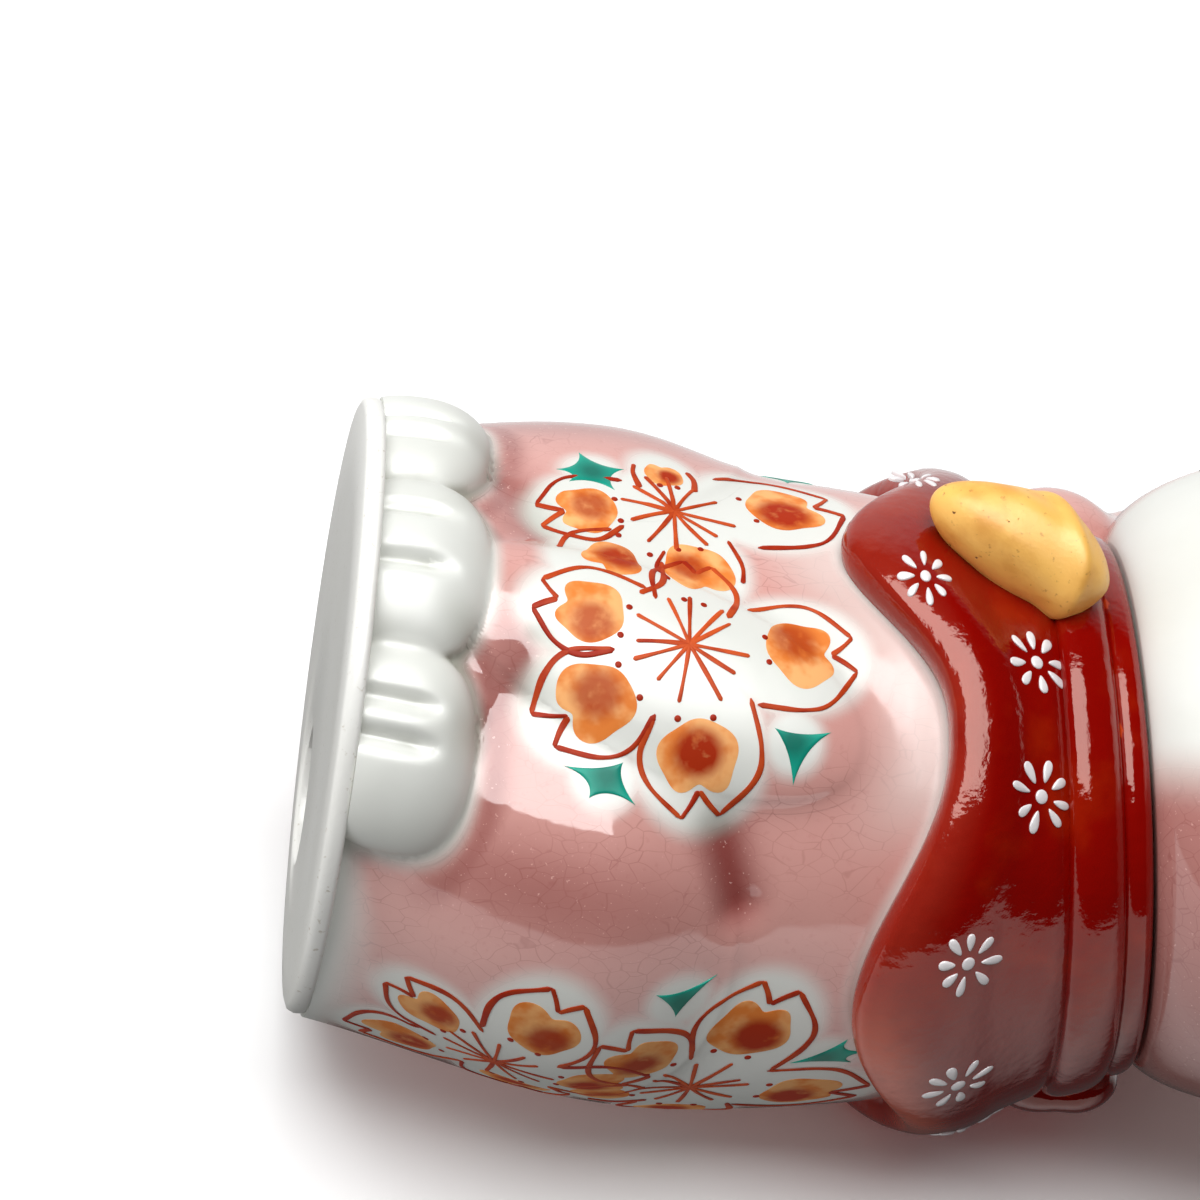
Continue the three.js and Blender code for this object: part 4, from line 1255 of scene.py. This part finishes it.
def petal_wash(bearing, reach, wash_size):
    """Outline of a petal's wash: round, with a dent toward the notch of the petal and an uneven edge."""
    turn = full_turn(WASH_COLUMNS)
    from_tip = np.abs(wrapped(np.degrees(turn))) / WASH_DENT_ANGLE
    size = WASH_RADIUS * reach * wash_size * (1 - WASH_DENT * np.exp(-(from_tip**2)))
    slow_waver = 0.05 * np.cos(3 * turn + hand.uniform(0, 6))
    quick_waver = 0.04 * np.cos(5 * turn + hand.uniform(0, 6))
    size = size * (1 + slow_waver + quick_waver)
    along = WASH_PLACE * reach + size * np.cos(turn) * WASH_STRETCH
    return np.stack(turned(bearing, along, size * np.sin(turn)), -1)


def painted_piece(name, bodies, shades, shade_name, finish):
    """Piece of painted bodies, with a shade laid on the corners of each."""
    piece = make_piece(name, bodies, finish)
    spread = [np.broadcast_to(shade, len(body[0])) for body, shade in zip(bodies, shades)]
    paint(piece, shade_name, np.concatenate(spread))


def brush_red_finish():
    finish = Finish("brush_red")
    patchy = finish.math("ADD", finish.painted("ink"), finish.band(finish.noise(2.4, 3), 0.35, 1.1))
    finish.set(Base_Color=finish.blend(patchy, *BRUSH_REDS), Roughness=0.45, IOR=1.2)
    return finish.material


def orange_wash_finish():
    finish = Finish("orange_wash")
    patchy = finish.band(finish.noise(4, 3), 0.38, 0.62)
    cloudy = finish.math("MULTIPLY", finish.painted("core"), finish.band(finish.noise(2.2, 3), 0, 0.5))
    thin = finish.blend(patchy, *ORANGE_SHADES)
    finish.set(Base_Color=finish.blend(cloudy, thin, ORANGE_CORE), Roughness=0.5, IOR=1.18)
    finish.set(Normal=finish.bump(finish.noise(0.8, 3), 0.012))
    return finish.material


outline_bodies = []
outline_inks = []
wash_bodies = []
wash_cores = []
for number, (middle_angle, middle_height, petals) in enumerate(BLOSSOMS):
    lay = on_surface(skin_radius, middle_angle, middle_height)
    for k, (bearing, reach) in enumerate(petals):
        before = petals[k - 1][0] - (360 if k == 0 else 0)
        after = petals[(k + 1) % len(petals)][0] + (360 if k == len(petals) - 1 else 0)
        covered = (number, bearing) in COVERED_PETALS
        for stroke in petal_outline(bearing, reach, before, after, covered):
            outline_bodies.append(brush_stroke(lay, stroke, OUTLINE_WIDTH * hand.uniform(0.88, 1.15)))
            outline_inks.append(hand.uniform(*OUTLINE_INKS))
        for swing in (-DOT_SWING, DOT_SWING):
            place = turned(bearing + swing + hand.uniform(-3, 3), DOT_PLACE * reach, 0)
            outline_bodies.append(dot(lay, *place, DOT_RADIUS, DOT_THICKNESS))
            outline_inks.append(DOT_INK)
        wash_size = WASH_SIZES.get((number, bearing), 1)
        if not wash_size:
            continue
        body = wash(lay, petal_wash(bearing, reach, wash_size), WASH_THICKNESS)
        wash_bodies.append(body)
        core = lay(*turned(bearing + hand.uniform(-8, 8), CORE_PLACE * reach, 0), 0)
        from_core = np.linalg.norm(body[0] - core, axis=1) / reach
        wash_cores.append(hand.uniform(0.75, 1.15) * (1 - eased(from_core, *CORE_EDGE)))
    for k in range(STAMEN_COUNT):
        bearing = 360 * k / STAMEN_COUNT + hand.uniform(-7, 7)
        length = STAMEN_LENGTH * hand.uniform(0.86, 1.1)
        bend = hand.uniform(-0.5, 0.5)
        places = [turned(bearing, along * length, bend * along**2) for along in (-0.02, 0.35, 0.7, 1)]
        outline_bodies.append(brush_stroke(lay, places, STAMEN_WIDTH))
        outline_inks.append(hand.uniform(*STAMEN_INKS))

painted_piece("blossom_outlines", outline_bodies, outline_inks, "ink", brush_red_finish())
painted_piece("blossom_washes", wash_bodies, wash_cores, "core", orange_wash_finish())

# Painted leaves
# Small pointed leaves between the blossoms, each laid on in one touch of thick teal enamel.
# It pools in the middle of the leaf, over the white glaze that the pink leaves free round it.
LEAF_VALLEY = 0.38
LEAF_COLUMNS = 30
LEAF_THICKNESS = 0.11
LEAF_POOL = 1.1
LEAF_POOL_RADIUS = 2.2
TEAL_SHADES = [colour(20, 160, 138), colour(0, 108, 92)]


def leaf_outline(points):
    """Outline that runs in hollow curves from point to point of a leaf."""
    tips = [np.array(turned(bearing, reach, 0)) for bearing, reach in points]
    outline = []
    for tip, other in zip(tips, tips[1:] + tips[:1]):
        valley = (tip + other) * LEAF_VALLEY * 0.5
        for t in np.linspace(0, 1, LEAF_COLUMNS, endpoint=False):
            outline.append((1 - t) ** 2 * tip + 2 * t * (1 - t) * valley + t**2 * other)
    return np.array(outline)


def teal_enamel_finish():
    finish = Finish("teal_enamel")
    deepened = finish.math("ADD", finish.painted("core"), finish.band(finish.noise(3, 3), 0.5, 1.3))
    finish.set(Base_Color=finish.blend(deepened, *TEAL_SHADES), Roughness=0.35, IOR=1.28)
    return finish.material


leaf_bodies = []
leaf_cores = []
for middle_angle, middle_height, points in LEAVES:
    lay = on_surface(skin_radius, middle_angle, middle_height)
    body = wash(lay, leaf_outline(sorted(points)), LEAF_THICKNESS)
    leaf_bodies.append(body)
    from_middle = np.linalg.norm(body[0] - lay(0, 0, 0), axis=1) / LEAF_POOL_RADIUS
    leaf_cores.append(LEAF_POOL * np.exp(-(from_middle**2)))
painted_piece("blossom_leaves", leaf_bodies, leaf_cores, "core", teal_enamel_finish())

# Bib flowers
# Small white flowers trailed on the red enamel in thick white: eight drop-shaped petals and a dot.
# Each is a raised touch of the brush, and they are scattered over the lobes of the bib.
FLOWER_PETALS = 8
FLOWER_INNER = 1.7
FLOWER_OUTER = 4.2
FLOWER_HALF_WIDTH = 0.72
FLOWER_DOT = 0.85
FLOWER_THICKNESS = 0.26
DROP_COLUMNS = 36
# Each flower: the angle and height of its middle.
BIB_FLOWERS = [(-6.8, 71.6), (4.9, 88), (29.7, 87.6), (57.5, 78.3), (85.2, 79.2), (-37.4, 73.1)]
BIB_FLOWERS += [(-64, 81), (-92, 76), (-122, 84), (118, 83), (146, 76), (-160, 78)]
FLOWER_WHITES = [colour(214, 208, 210), colour(238, 235, 236)]


def drop_outline(bearing, inner, outer, half_width):
    """Outline of a drop-shaped touch of the brush, narrow at its inner end."""
    turn = full_turn(DROP_COLUMNS)
    along = 0.5 * (inner + outer) - 0.5 * (outer - inner) * np.cos(turn)
    beside = half_width * np.sin(turn) * (0.72 - 0.28 * np.cos(turn))
    return np.stack(turned(bearing, along, beside), -1)


def white_enamel_finish():
    finish = Finish("white_enamel")
    finish.set(Base_Color=finish.blend(finish.noise(1.4), *FLOWER_WHITES))
    finish.set(Roughness=0.22, IOR=1.6, Normal=finish.bump(finish.noise(0.5), 0.02))
    return finish.material


flower_bodies = []
for middle_angle, middle_height in BIB_FLOWERS:
    lay = on_surface(bib_radius, middle_angle, middle_height)
    flower_bodies.append(dot(lay, 0, 0, FLOWER_DOT, FLOWER_THICKNESS))
    spin = hand.uniform(0, 45)
    for k in range(FLOWER_PETALS):
        bearing = spin + 360 * k / FLOWER_PETALS + hand.uniform(-5, 5)
        outer = FLOWER_OUTER * hand.uniform(0.92, 1.08)
        outline = drop_outline(bearing, FLOWER_INNER, outer, FLOWER_HALF_WIDTH * hand.uniform(0.9, 1.15))
        flower_bodies.append(wash(lay, outline, FLOWER_THICKNESS, rounded=1))
make_piece("bib_flowers", flower_bodies, white_enamel_finish())

# Painted face
# The face lies outside the photograph, so it is the plain traditional one, brushed on like the blossoms.
# It has black eyes, brows and whiskers, and a red nose and mouth, over the white glaze.
# Places are millimetres aside and up from the middle of the face.
EYE_ASIDE = 15.5
EYE_UP = 6
EYE_HALF_WIDTH = 5.2
EYE_HALF_HEIGHT = 3.6
EYE_SLANT = 0.22
EYE_POINTEDNESS = 0.3
EYE_THICKNESS = 0.12
EYE_COLUMNS = 60
BROW_STOPS = [(-6.5, 12), (0, 14.6), (6.5, 14.4)]
BROW_WIDTH = 1.1
NOSE_UP = -5.5
NOSE_HALF_WIDTH = 2.8
NOSE_HALF_HEIGHT = 1.7
NOSE_WIDENING = 0.35
NOSE_THICKNESS = 0.2
NOSE_COLUMNS = 40
MOUTH_UP = -10.5
LIP_STOPS = [(0, NOSE_UP - 1.6), (0, MOUTH_UP + 1.4)]
LIP_WIDTH = 0.8
SMILE_STOPS = [(0, 1.5), (2.2, -1), (5.4, -0.6), (7.4, 1.6)]
SMILE_WIDTH = 0.9
WHISKER_UPS = (-7, -10, -13)
WHISKER_LEVEL = -10
# Each stop of a whisker: its place aside, and how much the whiskers fan out there from the level one.
WHISKER_STOPS = [(15, 0), (23, 0.14), (32, 0.7)]
WHISKER_WIDTH = 0.7
FACE_INK = 0.6
FACE_BLACKS = [colour(18, 14, 12), colour(40, 30, 26)]


def black_enamel_finish():
    finish = Finish("black_enamel")
    finish.set(Base_Color=finish.blend(finish.noise(2), *FACE_BLACKS))
    finish.set(Roughness=0.12, IOR=1.6)
    return finish.material


face_lay = on_surface(head_radius, HEAD_TURN, HEAD_CENTRE)
black_bodies = []
red_bodies = []
eye_turn = full_turn(EYE_COLUMNS)
for side in (-1, 1):
    middle = side * EYE_ASIDE
    slant = EYE_SLANT * side * np.cos(eye_turn) * EYE_HALF_WIDTH
    lid = np.sin(eye_turn) * EYE_HALF_HEIGHT * np.abs(np.sin(eye_turn)) ** EYE_POINTEDNESS
    eye = np.stack([middle + np.cos(eye_turn) * EYE_HALF_WIDTH, EYE_UP + lid + slant], -1)
    black_bodies.append(wash(face_lay, eye, EYE_THICKNESS))
    brow = [(middle + side * aside, up) for aside, up in BROW_STOPS]
    black_bodies.append(brush_stroke(face_lay, brow, BROW_WIDTH))
    for up in WHISKER_UPS:
        whisker = [(side * aside, up + fan * (up - WHISKER_LEVEL)) for aside, fan in WHISKER_STOPS]
        black_bodies.append(brush_stroke(face_lay, whisker, WHISKER_WIDTH))
    smile = [(side * aside, MOUTH_UP + rise) for aside, rise in SMILE_STOPS]
    red_bodies.append(brush_stroke(face_lay, smile, SMILE_WIDTH))
nose_turn = full_turn(NOSE_COLUMNS)
nose_aside = NOSE_HALF_WIDTH * np.sin(nose_turn) * (1 + NOSE_WIDENING * np.cos(nose_turn))
nose = np.stack([nose_aside, NOSE_UP + NOSE_HALF_HEIGHT * np.cos(nose_turn)], -1)
red_bodies.append(wash(face_lay, nose, NOSE_THICKNESS, rounded=1))
red_bodies.append(brush_stroke(face_lay, LIP_STOPS, LIP_WIDTH))
face_inks = [FACE_INK] * len(red_bodies)
make_piece("face_black_lines", black_bodies, black_enamel_finish())
painted_piece("face_red_lines", red_bodies, face_inks, "ink", bpy.data.materials["brush_red"])

# Table, light and camera
# The figurine lies on its back on a white table, with the camera above it at its left.
# A large softbox hangs over the table, and a bright screen on the camera's side shows in the glaze.
# The sky stands for the table's light, for the room, and for what the glaze mirrors of both.
TABLE_ANGLE = -18
TABLE_BELOW = 44.5
TABLE_HALF_SIDE = 2500
CAMERA_ANGLE = 34
CAMERA_DROP = 7.7
CAMERA_ROLL = 7
CAMERA_DISTANCE = 448
CAMERA_TARGET = np.array([-14.8, -10, 33])
PICTURE_SIDE = 1200
FOCAL_PIXELS = 3585
SOFTBOX_DISTANCE = 1200
SOFTBOX_LEAN = 6
SOFTBOX_ALONG = -300
SOFTBOX_SIZE = (1120, 1440)
SOFTBOX_WATTS = 21.5
SCREEN_LEAN = 20
SCREEN_ALONG = -200
SCREEN_SIZE = (1120, 1180)
SCREEN_SHINE = 7
# Levels of the sky's soft light: the room, its wall past the base, the table far off and close by.
ROOM_LEVEL = 0.12
WALL_LEVEL = 1.5
HORIZON_LEVEL = 0.45
UNDER_LEVEL = 0.06
# Levels of what the glaze mirrors: the room, the table, the table's shadow and the backdrop.
ROOM_SHINE = 0.02
TABLE_SHINE = 1.1
SHADOW_SHINE = 0.06
BACKDROP_SHINE = 0.9
# Where these change over, as cosines of the angle between a way out from the figurine and an axis.
TABLE_EDGE = (-0.12, -0.08)
WALL_EDGE = (0.35, 1)
LIT_TOWARD_CAMERA = 0.96
LIT_TOWARD_BASE = 0.28
SHADOW_EDGE = (-0.25, 0.3)
BACKDROP_EDGE = (0.45, 0.75)
BACKDROP_RISE = 0.15


def level_way(angle):
    turn = math.radians(angle)
    return np.array([math.sin(turn), -math.cos(turn), 0])


def facing_matrix(place, right, up, back):
    matrix = np.eye(4)
    matrix[:3, 0], matrix[:3, 1], matrix[:3, 2], matrix[:3, 3] = right, up, back, place * MM
    return Matrix(matrix.tolist())


def stage_plane(name, half_width, half_height, matrix, finish):
    mesh = bpy.data.meshes.new(name)
    corners = [(-half_width, -half_height, 0), (half_width, -half_height, 0)]
    corners += [(half_width, half_height, 0), (-half_width, half_height, 0)]
    mesh.from_pydata(corners, [], [(0, 1, 2, 3)])
    mesh.materials.append(finish)
    plane = bpy.data.objects.new(name, mesh)
    bpy.context.scene.collection.objects.link(plane)
    plane.matrix_world = matrix
    plane.visible_diffuse = False
    plane.visible_shadow = False
    return plane


up_axis = np.array([0, 0, 1])
table_normal = level_way(TABLE_ANGLE)
table_across = np.cross(up_axis, table_normal)
table_finish = Finish("white_table")
table_finish.set(Base_Color=(1, 1, 1, 1), Roughness=1, Specular_IOR_Level=0)
clear = table_finish.add("ShaderNodeBsdfTransparent", {}).outputs[0]
behind = table_finish.add("ShaderNodeNewGeometry", {}).outputs["Backfacing"]
sheet = table_finish.add("ShaderNodeMixShader", {0: behind, 1: table_finish.shader.outputs[0], 2: clear})
table_finish.join(table_finish.tree.nodes["Material Output"].inputs["Surface"], sheet.outputs[0])
table_matrix = facing_matrix(-table_normal * TABLE_BELOW, table_across, up_axis, table_normal)
table_half = TABLE_HALF_SIDE * MM
table = stage_plane("table", table_half, table_half, table_matrix, table_finish.material)
table.visible_glossy = False

camera_back = level_way(CAMERA_ANGLE) * math.cos(math.radians(CAMERA_DROP))
camera_back = camera_back - up_axis * math.sin(math.radians(CAMERA_DROP))
along = up_axis - camera_back * camera_back[2]
along = along / np.linalg.norm(along)
aside = np.cross(camera_back, along)
roll = math.radians(CAMERA_ROLL)
camera_right = along * math.cos(roll) + aside * math.sin(roll)
camera_up = aside * math.cos(roll) - along * math.sin(roll)
camera_data = bpy.data.cameras.new("camera")
camera_data.sensor_width = 36
camera_data.lens = camera_data.sensor_width * FOCAL_PIXELS / PICTURE_SIDE
camera = bpy.data.objects.new("camera", camera_data)
bpy.context.scene.collection.objects.link(camera)
camera_place = CAMERA_TARGET + camera_back * CAMERA_DISTANCE
camera.matrix_world = facing_matrix(camera_place, camera_right, camera_up, camera_back)
bpy.context.scene.camera = camera

toward_camera = level_way(CAMERA_ANGLE) - table_normal * np.dot(level_way(CAMERA_ANGLE), table_normal)
toward_camera = toward_camera / np.linalg.norm(toward_camera)


def hung_over(lean, along):
    """Place and turn of a flat light that hangs over the table, leaning toward the camera."""
    turn = math.radians(lean)
    back = table_normal * math.cos(turn) + toward_camera * math.sin(turn)
    place = CAMERA_TARGET + up_axis * along + back * SOFTBOX_DISTANCE
    return facing_matrix(place, np.cross(up_axis, back), up_axis, back)


box_light = bpy.data.lights.new("softbox", "AREA")
box_light.shape = "RECTANGLE"
box_light.size = SOFTBOX_SIZE[0] * MM
box_light.size_y = SOFTBOX_SIZE[1] * MM
box_light.energy = SOFTBOX_WATTS
softbox = bpy.data.objects.new("softbox", box_light)
bpy.context.scene.collection.objects.link(softbox)
softbox.matrix_world = hung_over(SOFTBOX_LEAN, SOFTBOX_ALONG)
softbox.visible_glossy = False
cloth = Finish("screen_cloth")
cloth.set(Base_Color=(0, 0, 0, 1), Emission_Color=(1, 1, 1, 1), Emission_Strength=SCREEN_SHINE)
half_screen = [0.5 * side * MM for side in SCREEN_SIZE]
screen = stage_plane("screen", *half_screen, hung_over(SCREEN_LEAN, SCREEN_ALONG), cloth.material)
screen.visible_camera = False

world = bpy.data.worlds.new("studio")
bpy.context.scene.world = world
world.use_nodes = True
sky = world.node_tree
sky_colour = sky.nodes["Background"]
way = sky.nodes.new("ShaderNodeTexCoord")


def sky_level(axis, low, high, at_low, at_high):
    """Level that changes between two places of the sky along an axis, and is held beyond them."""
    tilt = sky.nodes.new("ShaderNodeVectorMath")
    tilt.operation = "DOT_PRODUCT"
    sky.links.new(way.outputs["Generated"], tilt.inputs[0])
    tilt.inputs[1].default_value = axis.tolist()
    level = sky.nodes.new("ShaderNodeMapRange")
    sky.links.new(tilt.outputs["Value"], level.inputs["Value"])
    ends = {"From Min": low, "From Max": high, "To Min": at_low, "To Max": at_high}
    for name, value in ends.items():
        level.inputs[name].default_value = value
    return level.outputs["Result"]


def sky_mix(share, under, over):
    """Level that goes from one to another with a share; either may be a number."""
    mix = sky.nodes.new("ShaderNodeMix")
    for socket, value in zip((mix.inputs[0], mix.inputs[2], mix.inputs[3]), (share, under, over)):
        if isinstance(value, bpy.types.NodeSocket):
            sky.links.new(value, socket)
        else:
            socket.default_value = value
    return mix.outputs[0]


ray = sky.nodes.new("ShaderNodeLightPath")
over_table = sky_level(table_normal, *TABLE_EDGE, 0, 1)
room_light = sky_level(-up_axis, *WALL_EDGE, ROOM_LEVEL, WALL_LEVEL)
table_light = sky_level(table_normal, -1, 0, UNDER_LEVEL, HORIZON_LEVEL)
soft_light = sky_mix(over_table, table_light, room_light)
lit_side = toward_camera * LIT_TOWARD_CAMERA - up_axis * LIT_TOWARD_BASE
table_mirrored = sky_level(lit_side, *SHADOW_EDGE, SHADOW_SHINE, TABLE_SHINE)
view_fall = -float(np.dot(level_way(CAMERA_ANGLE), table_normal))
past_object = sky_level(table_normal, view_fall, view_fall + BACKDROP_RISE, ROOM_SHINE, BACKDROP_SHINE)
far_side = sky_level(-toward_camera, *BACKDROP_EDGE, 0, 1)
mirrored = sky_mix(over_table, table_mirrored, ROOM_SHINE)
mirrored = sky_mix(far_side, mirrored, past_object)
level = sky_mix(ray.outputs["Is Glossy Ray"], soft_light, mirrored)
level = sky_mix(ray.outputs["Is Camera Ray"], level, 1)
sky.links.new(level, sky_colour.inputs["Strength"])
sky_colour.inputs["Color"].default_value = (1, 1, 1, 1)

bpy.context.scene.view_settings.view_transform = "Standard"
